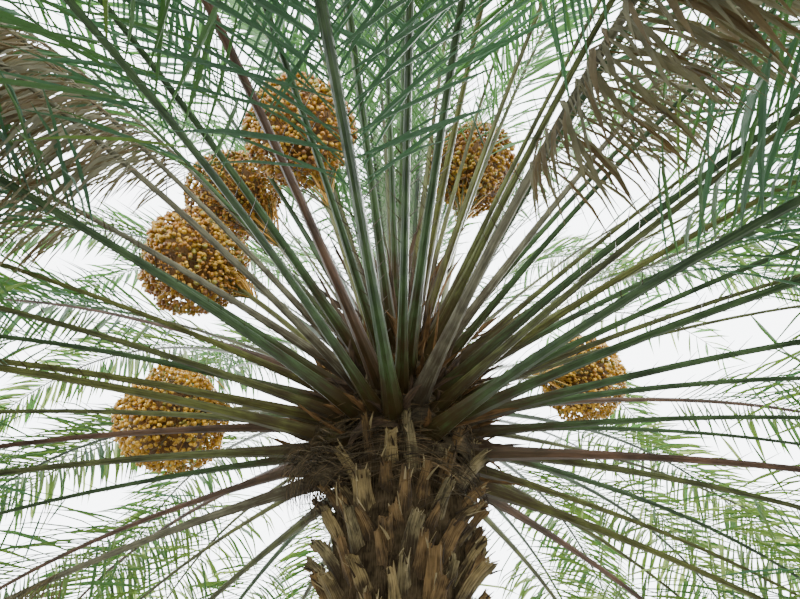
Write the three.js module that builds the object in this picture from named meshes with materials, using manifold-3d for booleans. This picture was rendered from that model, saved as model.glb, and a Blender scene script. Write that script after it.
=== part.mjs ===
// A date palm in fruit: a trunk clad in cut leaf bases, a crown of feathered fronds and the bunches of
// dates that hang among them. Millimetres and degrees, +Z up, with the origin on the flat cut at ground
// level under the trunk.
import * as THREE from "three";
import { mergeVertices } from "three/addons/utils/BufferGeometryUtils.js";
import Module from "manifold-3d";

const wasm = await Module();
wasm.setup();

// Trunk and growing head.
const CROWN_BASE = 2840; // height of the lowest live frond
const HEAD_HEIGHT = 560; // stretch of the trunk's top that carries the fronds
const TRUNK_RADIUS = 190; // without the leaf bases
const HEAD_TAPER = 0.66; // share of the radius that is lost by the top of the head
const HEART_SHARE = 0.65; // of the head's height: above it the head is one piece with the youngest leaves
const FLARE = 0.42; // share by which the foot is wider than the trunk
const FLARE_HEIGHT = 170;
const SEAT_GAP = 0.36; // clearance between the trunk and what it carries

// Cut leaf bases, in rows round the trunk that are each turned half a base from the row below.
const BASES_AROUND = 13;
const BASE_ROWS = 24;
const HEAD_ROWS = 3; // of the head, which carries fronds in their place
const ALL_ROWS = BASE_ROWS + HEAD_ROWS;
const BASE_LENGTH = 180;
const BASE_WIDTH = 54; // at the sawn end
const BASE_THICKNESS = 24;
const BASE_LEAN = 27; // from the trunk's own direction

// Fronds.
const GOLDEN_ANGLE = 137.508;
const FIRST_AZIMUTH = 23;
const FROND_COUNT = 80;
const YOUNG_COUNT = 28; // the youngest, which stand on the heart
const FROND_LENGTH = 3650;
const DRY_FRONDS = [1, 3, 15, 38, 44, 51];
const PETIOLE_SHARE = 0.27; // of the frond's length, bare of leaflets
const PATH_STEPS = 48;
const BLADE_SEGMENTS = 10;
const [TIP_WIDTH, PETIOLE_WIDTH, CLASP_WIDTH] = [6, 27, 58]; // add up to the rib's width at the trunk
const ROOT_DEPTH = 85; // length of petiole inside the head before it is cut to its seat
const LEAFLET_LENGTH = 500;
const LEAFLET_GAP = 2; // least clearance of a leaflet from any other piece
const LIFTS = { green: [34, 8, -16], dry: [-40, -20, -62] }; // leaflets stand at three angles in turn
const LEAFLET_TURNS = [0, 16, -16, 32, -32]; // tried in turn to keep a leaflet clear

// Fruit: azimuth, number of the frond whose axil the stalk grows from, distance of the bunch from the
// trunk's axis, height above the crown base, diameter.
const BUNCHES = [
  { azimuth: 235, axil: 33, reach: 620, rise: 1065, size: 370 },
  { azimuth: 192, axil: 43, reach: 680, rise: 1150, size: 350 },
  { azimuth: 197, axil: 30, reach: 760, rise: 690, size: 350 },
  { azimuth: 166, axil: 22, reach: 850, rise: 317, size: 370 },
  { azimuth: 333, axil: 39, reach: 340, rise: 1290, size: 360 },
  { azimuth: 33.5, axil: 34, reach: 920, rise: 710, size: 340 },
  { azimuth: 78, axil: 37, reach: 800, rise: 560, size: 350 },
  { azimuth: 107, axil: 32, reach: 760, rise: 820, size: 350 },
];
const STALK_WIDTH = 36;
const STALK_THICKNESS = 16;
const STALK_STEPS = 6;
const STALK_BALLS = Array.from({ length: 10 }, (_, k) => 0.08 + 0.074 * k); // shares of the stalk
const AXIL_RISE = 48; // from a frond's root to the root of the stalk above it

const SPEARS = 6;
const SPEAR_LENGTH = 2500;
const SPEAR_WIDTH = 44;

const DODGE_STEP = 1.5; // a frond whose rib would run through a bunch is swung aside in such steps
const DODGE_TRIES = 17;
const DODGE_PITCHES = [0, 4, -4];
const DODGE_GAP = 18;

const radians = THREE.MathUtils.degToRad;
const up = new THREE.Vector3(0, 0, 1);

// A fixed number from 0 to 1 for each piece and each of its features.
function chance(index, feature) {
  const value = Math.sin(index * 12.9898 + feature * 78.233) * 43758.5453;
  return value - Math.floor(value);
}

const spread = (index, feature, range) => (chance(index, feature) - 0.5) * range;
const outward = (azimuth) => new THREE.Vector3(Math.cos(radians(azimuth)), Math.sin(radians(azimuth)), 0);
const sideways = (azimuth) => outward(azimuth + 90);
const turnBetween = (a, b) => THREE.MathUtils.euclideanModulo(a - b + 180, 360) - 180;

// Solids

function toSolid(geometry) {
  const bare = geometry.clone();
  bare.deleteAttribute("normal");
  bare.deleteAttribute("uv");
  const merged = mergeVertices(bare, 1e-3);
  const mesh = new wasm.Mesh({
    numProp: 3,
    vertProperties: new Float32Array(merged.attributes.position.array),
    triVerts: new Uint32Array(merged.index.array),
  });
  return new wasm.Manifold(mesh);
}

function toGeometry(solid) {
  const mesh = solid.getMesh();
  return new THREE.BufferGeometry()
    .setAttribute("position", new THREE.BufferAttribute(mesh.vertProperties, 3))
    .setIndex(new THREE.BufferAttribute(mesh.triVerts, 1));
}

// A closed skin over cross-sections that run counter-clockwise, seen from ahead. A side face with an
// entry in `drawn` is drawn out to it: to one point as a pyramid, or to four as a block. An `apex` closes
// the far end in a point.
function loft(sections, { drawn = new Map(), apex = null } = {}) {
  const across = sections[0].length;
  const points = sections.flat();
  const corner = (i, j) => i * across + (j % across);
  const index = [];
  const quad = (a, b, c, d) => index.push(a, b, c, a, c, d);
  const drawOut = (base, ends) => {
    const first = points.push(...ends) - ends.length;
    const end = (c) => first + (c % base.length);
    base.forEach((from, c) => {
      const to = base[(c + 1) % base.length];
      if (ends.length === 1) index.push(from, to, first);
      else quad(from, to, end(c + 1), end(c));
    });
    if (ends.length === 4) quad(end(0), end(1), end(2), end(3));
  };
  for (let i = 0; i + 1 < sections.length; i++) {
    for (let j = 0; j < across; j++) {
      const face = [corner(i, j), corner(i, j + 1), corner(i + 1, j + 1), corner(i + 1, j)];
      const ends = drawn.get(`${i},${j}`);
      if (ends) drawOut(face, ends);
      else quad(...face);
    }
  }
  const last = corner(sections.length - 1, 0);
  for (let j = 1; j + 1 < across; j++) {
    index.push(0, j + 1, j);
    if (!apex) index.push(last, last + j, last + j + 1);
  }
  if (apex) drawOut(sections[0].map((_, j) => last + j), [apex]);
  return toSolid(new THREE.BufferGeometry().setFromPoints(points).setIndex(index));
}

function near(a, b, gap) {
  return [0, 1, 2].every((k) => a.min[k] - gap < b.max[k] && b.min[k] - gap < a.max[k]);
}

// True if the solid keeps the gap to each of the others.
function clears(solid, others, gap) {
  const box = solid.boundingBox();
  return others.every((other) => !near(box, other.boundingBox(), gap) || solid.minGap(other, gap) >= gap);
}

// Trunk

function trunkRadius(height) {
  if (height > CROWN_BASE) {
    const share = Math.min(1, (height - CROWN_BASE) / HEAD_HEIGHT);
    return TRUNK_RADIUS * (1 - HEAD_TAPER * share ** 1.7);
  }
  return TRUNK_RADIUS * (1 + FLARE * Math.exp(-height / FLARE_HEIGHT) + 0.06 * (1 - height / CROWN_BASE));
}

function ring(height, radius, turn = 0) {
  return Array.from({ length: BASES_AROUND }, (_, j) =>
    outward(turn + (j * 360) / BASES_AROUND)
      .multiplyScalar(radius)
      .setZ(height),
  );
}

function rowHeight(row) {
  if (row <= BASE_ROWS) return (CROWN_BASE * row) / BASE_ROWS;
  return CROWN_BASE + (HEAD_HEIGHT * HEART_SHARE * (row - BASE_ROWS)) / HEAD_ROWS;
}

const rowTurn = (row) => (row / 2) * (360 / BASES_AROUND);

// Rings of the column, grown by `gap`. Each is turned half a leaf base from the one under it, so that the
// leaf bases stand in a spiral.
function columnRings(gap) {
  return Array.from({ length: ALL_ROWS + 1 }, (_, row) => {
    const height = rowHeight(row);
    const beyond = row === 0 ? -gap : row === ALL_ROWS ? gap : 0;
    return ring(height + beyond, trunkRadius(height) + gap, rowTurn(row));
  });
}

// The head goes on above the column as the heart.
function heartRings(gap) {
  return [HEART_SHARE, 0.8, 0.92, 1].map((share) => {
    const height = CROWN_BASE + HEAD_HEIGHT * share;
    return ring(height, trunkRadius(height) + gap, rowTurn(ALL_ROWS));
  });
}

const heartTop = new THREE.Vector3(0, 0, CROWN_BASE + HEAD_HEIGHT * 1.12);

// The sawn end of one leaf base, a strap that is broad where it clasps the trunk and leans away from it.
function leafBaseEnd(row, place, shorter) {
  const k = row * BASES_AROUND + place;
  const low = rowHeight(row);
  const azimuth = ((row / 2 + place + 0.75) * 360) / BASES_AROUND + spread(k, 25, 6);
  const wear = 0.62 + 0.38 * Math.min(1, (row + 1) / (0.6 * BASE_ROWS)); // worn shorter near the ground
  const lean = radians(BASE_LEAN + spread(k, 21, 12));
  const length = BASE_LENGTH * wear * shorter * (1 + spread(k, 22, 0.3));
  const side = sideways(azimuth);
  const along = up.clone().multiplyScalar(Math.cos(lean)).addScaledVector(outward(azimuth), Math.sin(lean));
  const face = new THREE.Vector3().crossVectors(side, along);
  const centre = outward(azimuth).multiplyScalar(trunkRadius(low)).setZ(low).addScaledVector(along, length);
  const halfWidth = (BASE_WIDTH / 2) * (1 + spread(k, 24, 0.3));
  const slant = spread(k, 23, 36);
  return [[-1, 1], [1, 1], [1, 0], [-1, 0]].map(([s, f]) =>
    centre
      .clone()
      .addScaledVector(side, s * halfWidth)
      .addScaledVector(face, f * BASE_THICKNESS)
      .addScaledVector(along, (s * slant) / 2),
  );
}

function trunk(neighbours) {
  const rings = columnRings(0);
  const drawn = new Map();
  for (let row = 0; row < BASE_ROWS; row++) {
    for (let j = 0; j < BASES_AROUND; j++) {
      const cell = [rings[row][j], rings[row][(j + 1) % BASES_AROUND]];
      cell.push(rings[row + 1][(j + 1) % BASES_AROUND], rings[row + 1][j]);
      const ends = [1, 0.8, 0.6, 0.45].map((shorter) => leafBaseEnd(row, j, shorter));
      const fitting = ends.find((end) => clears(loft([cell, end]), neighbours, LEAFLET_GAP));
      if (fitting) drawn.set(`${row},${j}`, fitting);
    }
  }
  return loft(rings, { drawn });
}

// Fronds

// How frond n grows: 0 is the oldest and lowest. The pitch is above the level at the trunk, and the
// droop is what it loses by the tip.
function frondPlan(n) {
  const youth = (n + 0.5) / FROND_COUNT;
  const dry = DRY_FRONDS.includes(n);
  return {
    n,
    youth,
    dry,
    azimuth: FIRST_AZIMUTH + GOLDEN_ANGLE * n + spread(n, 1, 6),
    height: CROWN_BASE + HEAD_HEIGHT * youth,
    pitch: -6 + 92 * youth ** 1.5 + spread(n, 2, 5),
    droop: 56 + 34 * youth - 66 * youth ** 2 + spread(n, 3, 10) + (dry ? 8 : 0),
    length: FROND_LENGTH * (1 - 0.2 * youth ** 3 + spread(n, 4, 0.08)),
    sweep: spread(n, 5, 14),
    twist: spread(n, 6, 70),
    stout: 1 - 0.36 * youth,
  };
}

// Points and directions at equal steps along the rib, from the trunk's surface to the tip.
function frondPath(plan) {
  const step = plan.length / PATH_STEPS;
  const path = [];
  const place = outward(plan.azimuth).multiplyScalar(trunkRadius(plan.height)).setZ(plan.height);
  for (let i = 0; i <= PATH_STEPS; i++) {
    const s = i / PATH_STEPS;
    const pitch = radians(plan.pitch - plan.droop * (0.3 * s + 0.7 * s * s));
    const azimuth = plan.azimuth + plan.sweep * s * s;
    const along = outward(azimuth).multiplyScalar(Math.cos(pitch)).setZ(Math.sin(pitch));
    const turn = radians(plan.twist * s * s);
    const level = sideways(azimuth);
    const above = new THREE.Vector3().crossVectors(along, level);
    const side = level.clone().multiplyScalar(Math.cos(turn)).addScaledVector(above, Math.sin(turn));
    path.push({ place: place.clone(), along, side, above: new THREE.Vector3().crossVectors(along, side) });
    place.addScaledVector(along, step);
  }
  return path;
}

// Balls that the ribs of the fronds keep clear of: each mass of dates, and points of its stalk.
function obstacles() {
  return BUNCHES.flatMap((bunch) => {
    const curve = stalkCurve(bunch);
    const stalk = STALK_BALLS.map((t) => ({ centre: curve.getPoint(t), radius: STALK_WIDTH / 2 }));
    return [{ centre: bunchCentre(bunch), radius: bunch.size * 0.54 }, ...stalk];
  });
}

function isBlocked(plan, path, balls) {
  const line = new THREE.Line3();
  const nearest = new THREE.Vector3();
  return path.slice(1).some(({ place }, i) => {
    line.set(path[i].place, place);
    const reach = ribWidth(plan, i / PATH_STEPS) / 2 + DODGE_GAP;
    return balls.some(({ centre, radius }) => {
      line.closestPointToPoint(centre, true, nearest);
      return nearest.distanceTo(centre) < radius + reach;
    });
  });
}

// True if another frond's root is too close beside this one's.
function isCrowded(plan, plans) {
  return plans.some((other) => {
    if (other === plan) return false;
    const room = (ribWidth(plan, 0) + ribWidth(other, 0)) / 2;
    const beside = radians(turnBetween(plan.azimuth, other.azimuth)) * trunkRadius(plan.height);
    return Math.hypot(beside, (plan.height - other.height) * 1.2) < room;
  });
}

// The frond's path, swung aside, raised or lowered as little as clears the fruit. A frond that has no room
// has been pruned, and has none.
function clearPath(plan, plans, balls) {
  const { azimuth, pitch } = plan;
  for (let k = 0; k < DODGE_TRIES; k++) {
    for (const raised of DODGE_PITCHES) {
      plan.azimuth = azimuth + (k % 2 ? 1 : -1) * Math.ceil(k / 2) * DODGE_STEP;
      plan.pitch = pitch + raised;
      const path = frondPath(plan);
      const moved = k > 0 || raised !== 0;
      if (!isBlocked(plan, path, balls) && !(moved && isCrowded(plan, plans))) return path;
    }
  }
  plan.azimuth = azimuth;
  return null;
}

// The point and directions at share s of the rib.
function pathAt(path, s) {
  const whole = Math.min(PATH_STEPS - 1, Math.floor(s * PATH_STEPS));
  const rest = s * PATH_STEPS - whole;
  const [a, b] = [path[whole], path[whole + 1]];
  const blend = (key) => a[key].clone().lerp(b[key], rest);
  return {
    place: blend("place"),
    along: blend("along").normalize(),
    side: blend("side").normalize(),
    above: blend("above").normalize(),
  };
}

function ribWidth(plan, s) {
  const clasp = CLASP_WIDTH * (1 - 0.65 * plan.youth) * Math.exp((-s * plan.length) / 150);
  return plan.stout * (TIP_WIDTH + PETIOLE_WIDTH * (1 - s) ** 0.9 + clasp);
}

// Left edge, keel and right edge of the rib.
function ribSection(plan, path, s) {
  const { place, along, side, above } = pathAt(path, Math.max(0, s));
  const width = ribWidth(plan, Math.max(0, s));
  const thickness = width * 0.58;
  if (s < 0) place.addScaledVector(along, s * plan.length);
  return [
    place.clone().addScaledVector(side, width / 2).addScaledVector(above, thickness * 0.3),
    place.clone().addScaledVector(side, -width / 2).addScaledVector(above, thickness * 0.3),
    place.clone().addScaledVector(above, -thickness * 0.7),
  ];
}

const stations = (() => {
  const petiole = [0, 0.1, 0.3, 0.6].map((share) => share * PETIOLE_SHARE);
  const blade = Array.from({ length: BLADE_SEGMENTS + 1 }, (_, i) => {
    return PETIOLE_SHARE + (0.985 - PETIOLE_SHARE) * (i / BLADE_SEGMENTS);
  });
  return [-ROOT_DEPTH / FROND_LENGTH, ...petiole, ...blade];
})();
const FIRST_BLADE = stations.indexOf(PETIOLE_SHARE);

// Leaflets are longest a third of the way along the blade, and shorter towards both its ends.
function leafletLength(plan, s) {
  const q = (s - PETIOLE_SHARE) / (1 - PETIOLE_SHARE);
  const profile = 0.62 + 1.5 * q - 2.5 * q ** 2 + 0.86 * q ** 3;
  return LEAFLET_LENGTH * profile * (1 - 0.3 * plan.youth ** 2);
}

function leafletTip(plan, path, i, hand, lift, shorter) {
  const s = (stations[i] + stations[i + 1]) / 2;
  const { place, along, side, above } = pathAt(path, s);
  const share = (s - PETIOLE_SHARE) / (1 - PETIOLE_SHARE);
  const forward = radians(58 - 26 * share - 14 * plan.youth);
  const rise = radians(lift);
  const reach = leafletLength(plan, s) * shorter;
  const across = side.clone().multiplyScalar(hand * Math.cos(rise)).addScaledVector(above, Math.sin(rise));
  return place
    .addScaledVector(along, reach * Math.cos(forward))
    .addScaledVector(across, reach * Math.sin(forward));
}

// The points to which the side faces of the blade are drawn out.
function leafletTips(plan, path, sections, neighbours) {
  const drawn = new Map();
  const lifts = LIFTS[plan.dry ? "dry" : "green"];
  for (let i = FIRST_BLADE; i + 1 < stations.length; i++) {
    for (const [hand, face] of [[1, 2], [-1, 1]]) {
      const [j, next] = [face, (face + 1) % 3];
      const base = [sections[i][j], sections[i][next], sections[i + 1][next], sections[i + 1][j]];
      const lift = lifts[(i + (hand > 0 ? 0 : 1)) % lifts.length];
      const tries = [1, 0.72].flatMap((shorter) => LEAFLET_TURNS.map((turn) => [lift + turn, shorter]));
      for (const [angle, shorter] of tries) {
        const tip = leafletTip(plan, path, i, hand, angle, shorter);
        if (clears(loft([base], { apex: tip }), neighbours, LEAFLET_GAP)) {
          drawn.set(`${i},${j}`, [tip]);
          break;
        }
      }
    }
  }
  return drawn;
}

// Fruit bunches

function bunchCentre(bunch) {
  return outward(bunch.azimuth).multiplyScalar(bunch.reach).setZ(CROWN_BASE + bunch.rise);
}

// The line of a stalk, which arches to the middle of its dates out of the axil of a frond.
function stalkCurve(bunch) {
  const axil = frondPlan(bunch.axil);
  const height = axil.height + AXIL_RISE;
  const root = outward(axil.azimuth).multiplyScalar(trunkRadius(height) - 40).setZ(height);
  const centre = bunchCentre(bunch);
  const middle = root.clone().lerp(centre, 0.55).addScaledVector(up, 90);
  return new THREE.QuadraticBezierCurve3(root, middle, centre);
}

// A flat stalk with a knobbly mass of dates.
function bunchSolid(bunch, number) {
  const centre = bunchCentre(bunch);
  const curve = stalkCurve(bunch);
  const side = sideways(bunch.azimuth).multiplyScalar(STALK_WIDTH / 2);
  const sections = Array.from({ length: STALK_STEPS + 1 }, (_, i) => {
    const place = curve.getPoint(i / STALK_STEPS);
    const face = new THREE.Vector3().crossVectors(curve.getTangent(i / STALK_STEPS), side);
    face.setLength(STALK_THICKNESS / 2);
    return [[1, 1], [-1, 1], [-1, -1], [1, -1]].map(([s, f]) =>
      place.clone().addScaledVector(side, s).addScaledVector(face, f),
    );
  });
  const ball = new THREE.IcosahedronGeometry(1, 2);
  ball.deleteAttribute("normal");
  ball.deleteAttribute("uv");
  const fruit = mergeVertices(ball, 1e-4);
  const at = fruit.attributes.position;
  for (let v = 0; v < at.count; v++) {
    const knob = (bunch.size / 2) * (0.96 + spread(v + 100 * number, 31, 0.14));
    at.setXYZ(v, at.getX(v) * knob, at.getY(v) * knob, at.getZ(v) * knob * 1.04);
  }
  fruit.translate(centre.x, centre.y, centre.z);
  return loft(sections).add(toSolid(fruit));
}

// The growing point: the top of the head and the unopened leaves that stand on it.
function heartSolid() {
  const foot = new THREE.Vector3(0, 0, CROWN_BASE + HEAD_HEIGHT * 0.9);
  const spears = Array.from({ length: SPEARS }, (_, k) => {
    const azimuth = k * GOLDEN_ANGLE;
    const lean = radians(k ? 2.2 + 0.8 * k : 0);
    const along = outward(azimuth).multiplyScalar(Math.sin(lean)).setZ(Math.cos(lean));
    const side = sideways(azimuth);
    const face = new THREE.Vector3().crossVectors(along, side);
    const length = SPEAR_LENGTH * (1 - 0.07 * k);
    const sections = [0, 0.15, 0.5, 0.8].map((s) => {
      const half = (SPEAR_WIDTH / 2) * (1 - 0.75 * s * s);
      return [[1, 0], [0, 1], [-1, 0], [0, -1]].map(([a, b]) =>
        foot
          .clone()
          .addScaledVector(along, s * length)
          .addScaledVector(side, a * half)
          .addScaledVector(face, b * half),
      );
    });
    return loft(sections, { apex: foot.clone().addScaledVector(along, length) });
  });
  return wasm.Manifold.union([loft(heartRings(0), { apex: heartTop }), ...spears]);
}

// The whole palm

const MATERIALS = {
  bark: new THREE.MeshStandardMaterial({ color: 0x6b4d30, roughness: 0.95 }),
  green: new THREE.MeshStandardMaterial({ color: 0x5d7d4c, roughness: 0.6 }),
  dry: new THREE.MeshStandardMaterial({ color: 0x8d7a5f, roughness: 0.85 }),
  fruit: new THREE.MeshStandardMaterial({ color: 0xc68a2e, roughness: 0.45 }),
};

const palm = new THREE.Group();

function addPiece(name, solid, material) {
  const mesh = new THREE.Mesh(toGeometry(solid), MATERIALS[material]);
  mesh.name = name;
  palm.add(mesh);
}

function buildPalm() {
  const seat = loft(columnRings(SEAT_GAP));
  const wholeSeat = seat.add(loft(heartRings(SEAT_GAP), { apex: heartTop }));
  const bunches = BUNCHES.map((bunch, i) => bunchSolid(bunch, i).subtract(wholeSeat));
  const heart = heartSolid().subtract(seat);
  const balls = obstacles();
  const plans = Array.from({ length: FROND_COUNT }, (_, n) => frondPlan(n));
  const fronds = plans.flatMap((plan) => {
    const path = clearPath(plan, plans, balls);
    if (!path) return [];
    const sections = stations.map((s) => ribSection(plan, path, s));
    const apex = pathAt(path, 1).place;
    const onHeart = plan.n >= FROND_COUNT - YOUNG_COUNT;
    const cut = onHeart ? seat : wholeSeat;
    return [{ plan, path, sections, apex, onHeart, cut, rib: loft(sections, { apex }).subtract(cut) }];
  });
  const stem = trunk([...bunches, heart, ...fronds.map((frond) => frond.rib)]);
  for (const frond of fronds) {
    const others = fronds.filter((other) => other !== frond).map((other) => other.solid ?? other.rib);
    const drawn = leafletTips(frond.plan, frond.path, frond.sections, [stem, heart, ...bunches, ...others]);
    frond.solid = loft(frond.sections, { drawn, apex: frond.apex }).subtract(frond.cut);
  }
  const young = fronds.filter((frond) => frond.onHeart);
  const grown = fronds.filter((frond) => !frond.onHeart);
  addPiece("trunk", stem, "bark");
  addPiece("young_leaves", wasm.Manifold.union([heart, ...young.map((frond) => frond.solid)]), "green");
  grown.forEach(({ plan, solid }, i) => {
    addPiece(`frond_${String(i + 1).padStart(2, "0")}`, solid, plan.dry ? "dry" : "green");
  });
  bunches.forEach((solid, i) => addPiece(`date_bunch_${i + 1}`, solid, "fruit"));
}

buildPalm();

export default palm;
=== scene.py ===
"""A date palm in fruit, dressed over its solids: a column clad in sawn leaf bases and sheath fibre, ribs and
leaflets grown by the rule of the crown, and bunches of dates on their strands. Metres, +Z up, with the origin
on the flat cut at ground level."""

import math
from collections import namedtuple
from functools import lru_cache
from types import SimpleNamespace

import bpy
import numpy as np
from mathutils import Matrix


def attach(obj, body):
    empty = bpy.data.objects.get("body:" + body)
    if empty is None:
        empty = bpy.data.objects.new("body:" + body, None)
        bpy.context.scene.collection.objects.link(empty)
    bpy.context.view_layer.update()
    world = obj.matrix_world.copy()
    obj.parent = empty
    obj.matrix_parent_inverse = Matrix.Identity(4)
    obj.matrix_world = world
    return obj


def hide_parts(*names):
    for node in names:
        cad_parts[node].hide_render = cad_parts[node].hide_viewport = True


bl_info = {
    "name": "Date palm",
    "version": (1, 0, 0),
    "blender": (4, 5, 0),
    "location": "View3D > Sidebar > Date palm",
    "description": "Builds the trunk, fronds, young leaves and fruit of a date palm over its solids",
    "category": "Add Mesh",
}

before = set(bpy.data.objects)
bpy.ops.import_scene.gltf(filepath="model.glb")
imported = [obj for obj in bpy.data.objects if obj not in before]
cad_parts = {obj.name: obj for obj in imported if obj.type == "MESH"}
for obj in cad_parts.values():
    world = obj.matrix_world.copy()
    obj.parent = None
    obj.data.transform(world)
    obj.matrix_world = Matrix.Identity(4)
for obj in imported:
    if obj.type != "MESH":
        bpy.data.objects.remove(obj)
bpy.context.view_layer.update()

# Trunk and growing head.
CROWN_BASE = 2.840  # height of the lowest live frond
HEAD_HEIGHT = 0.560  # stretch of the trunk's top that carries the fronds
TRUNK_RADIUS = 0.190  # without the leaf bases
HEAD_TAPER = 0.66  # share of the radius that is lost by the top of the head
FLARE = 0.42  # share by which the foot is wider than the trunk
FLARE_HEIGHT = 0.170
COLUMN_RINGS, COLUMN_POINTS = 130, 78

# Cut leaf bases, in rows round the trunk that are each turned half a base from the row below.
BASES_AROUND = 13
BASE_ROWS = 24
HEAD_ROWS = 3  # that would fit on the head below its heart
MADE_ROWS = BASE_ROWS + 2  # the top two stand among the fronds
HEART_SHARE = 0.65  # of the head's height: above it there is no room for bases
ROW_HEIGHT = CROWN_BASE / BASE_ROWS
BASE_LENGTH = 0.180
BASE_LEAN = 32  # degrees from the trunk's own direction
BASE_STEPS, BASE_HALF = 6, 6  # rings of a base, and points along each of its two faces
SPLINTERS = 5  # at each sawn end

# Sheath fibre on the head.
MAT_THREADS = 1200
TUFT_THREADS = 360  # the first of them, which hang out on one side
SHEATHS = 22
LUMPS = 3  # the first of them, which hang off the head in a lump
BRACTS = 300
BLADE_RINGS = 8

# Fronds. Those at the half steps of the spiral are the slimmer ones.
GOLDEN_ANGLE = 137.508
FIRST_AZIMUTH = 23
FROND_COUNT = 80
YOUNG_COUNT = 28  # the youngest, which stand on the heart
FINER_FROM = 8  # slimmer fronds start above this step
FINER_STOUT = 0.8  # a slimmer frond's width, as a share of a full one's
FINER_LEAFLETS = 0.40  # share of its leaflets that a slimmer frond keeps
SHADE = 0.65  # how much fuller the slimmer fronds are towards -X, and how much barer towards +X
FROND_LENGTH = 3.650
DRY_FRONDS = (1, 3, 15, 22.5, 35.5, 38, 44, 51)
RED_STALKS = (5, 8, 14, 20, 22, 27, 34, 43)
PETIOLE_SHARE = 0.27  # of the frond's length, bare of leaflets
PATH_STEPS = 48
TIP_WIDTH, PETIOLE_WIDTH, CLASP_WIDTH = 0.006, 0.027, 0.058  # add up to the rib's width at the trunk
RIB_DEPTH = 0.58  # of the rib's width
ROOT_DEPTH = 0.060  # length of a stalk inside the head
LEAFLET_LENGTH = 0.500
LIFTS = {"green": (30, 8, -12), "dry": (-40, -20, -62)}  # leaflets stand at three angles in turn
SPINES = 16  # on each stalk

# Fruit. The distance is from the trunk's axis, the rise is above the crown base, the axil is the number of
# the frond above which the stalk grows, and the scale is that of the dates.
Bunch = namedtuple("Bunch", "azimuth distance rise diameter axil scale")
BUNCHES = (
    Bunch(235, 0.620, 1.065, 0.370, 33, 1.0),
    Bunch(192, 0.680, 1.150, 0.350, 43, 0.74),
    Bunch(197, 0.760, 0.690, 0.350, 30, 0.95),
    Bunch(166, 0.850, 0.317, 0.370, 22, 0.9),
    Bunch(333, 0.340, 1.290, 0.360, 39, 0.95),
    Bunch(33.5, 0.920, 0.710, 0.340, 34, 0.9),
    Bunch(78, 0.800, 0.560, 0.350, 37, 0.95),
    Bunch(107, 0.760, 0.820, 0.350, 32, 0.9),
)
NEAR_BUNCHES = 4  # the first of them, which are nearest the camera
PAINTED_SUN_FROM = 0.840  # bunches further out than this hang in the sun, and their dates take paler finishes as painted sunlight
STALK_WIDTH = 0.036
STALK_BALLS = 0.08 + 0.074 * np.arange(10)  # shares of the stalk
AXIL_RISE = 0.048  # from a frond's root to the root of the stalk above it
CORE_SHARE = 0.77  # of a bunch's radius, filled by packed strands, painted dark as shade
STRANDS = 80  # in a bunch of full-size dates
LOBES = 26  # clusters in a bunch

SPEARS = 6
SPEAR_LENGTH = 2.500
SPEAR_WIDTH = 0.044

# A frond whose rib would run through a bunch is swung aside in such steps, or raised or lowered.
DODGE_STEP = 1.5
DODGE_TRIES = 17
DODGE_PITCHES = (0, 4, -4)
DODGE_GAP = 0.018

# Skins.
STREAK_LENGTH = 18  # times a streak's width
RAGGED = 0.9  # how far the streaks shift the edge of a foot's colour, as a share of its length
GLOW = 0.46  # share of a thin blade's light that comes through it

# Stage. A light has a name, its power in watts, the side of its square, its place and where it looks.
LIGHTS = (
    ("key", 5200, 7.0, (2.5, 6.5, 9.0), (0, 0, 3.6)),
    ("fill", 120, 5.0, (-2.0, -6.5, 1.0), (0, 0, 3.2)),
)
SKY_COLOUR = (0.93, 0.97, 1.0, 1)
SKY_STRENGTH = 7.8

UP = np.array([0.0, 0.0, 1.0])


# Numbers and directions


def chance(index, feature):
    """A fixed number from 0 to 1 for each index and feature: the fraction of a large sine."""
    value = np.sin(np.asarray(index, float) * 12.9898 + feature * 78.233) * 43758.5453
    return value - np.floor(value)


def spread(index, feature, size):
    """A fixed number from -size/2 to size/2."""
    return (chance(index, feature) - 0.5) * size


def outward(azimuth):
    """The level direction at an azimuth in degrees: its cosine, its sine and nothing upwards."""
    turn = np.radians(np.asarray(azimuth, float))
    return np.stack([np.cos(turn), np.sin(turn), np.zeros_like(turn)], -1)


def sideways(azimuth):
    """The level direction a quarter turn on from an azimuth."""
    return outward(np.asarray(azimuth) + 90)


def from_axis(azimuth, out, up):
    """The level direction at an azimuth times one measure, and up times another."""
    return outward(azimuth) * np.asarray(out)[..., None] + UP * np.asarray(up)[..., None]


def turn_between(a, b):
    """The turn from b to a, from -180 to 180 degrees."""
    return (a - b + 180) % 360 - 180


def unit(vectors):
    """Each vector over its length."""
    return vectors / np.maximum(np.linalg.norm(vectors, axis=-1, keepdims=True), 1e-12)


def frames(along, hint):
    """Side and above for each direction: above is the hint less its part along the direction, and side is
    above cross along, so that side, above and along are right-handed."""
    hint = np.asarray(hint, float)
    above = unit(hint - (hint * along).sum(-1, keepdims=True) * along)
    return np.cross(above, along), above


def circle(count):
    """Points of a circle of radius 1: the cosine and sine of equal turns."""
    turn = np.arange(count) * 2 * np.pi / count
    return np.stack([np.cos(turn), np.sin(turn)], -1)


def bow(a, b, c, t):
    """Points of the bow that leaves a, makes for b and ends at c: a times (1-t) squared, b times 2t(1-t) and
    c times t squared."""
    t = np.asarray(t, float)[..., None]
    a, b, c = (end[..., None, :] for end in (a, b, c))
    return a * (1 - t) ** 2 + b * 2 * t * (1 - t) + c * t**2


def scatter_on_ball(count, turn=0.0):
    """Even directions on a ball: equal steps in height, each a golden angle round from the last."""
    step = np.arange(count) + 0.5
    height = 1 - 2 * step / count
    ring = np.sqrt(1 - height**2)
    azimuth = np.radians(GOLDEN_ANGLE) * step + turn
    return np.stack([ring * np.cos(azimuth), ring * np.sin(azimuth), height], -1)


# Meshes


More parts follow.
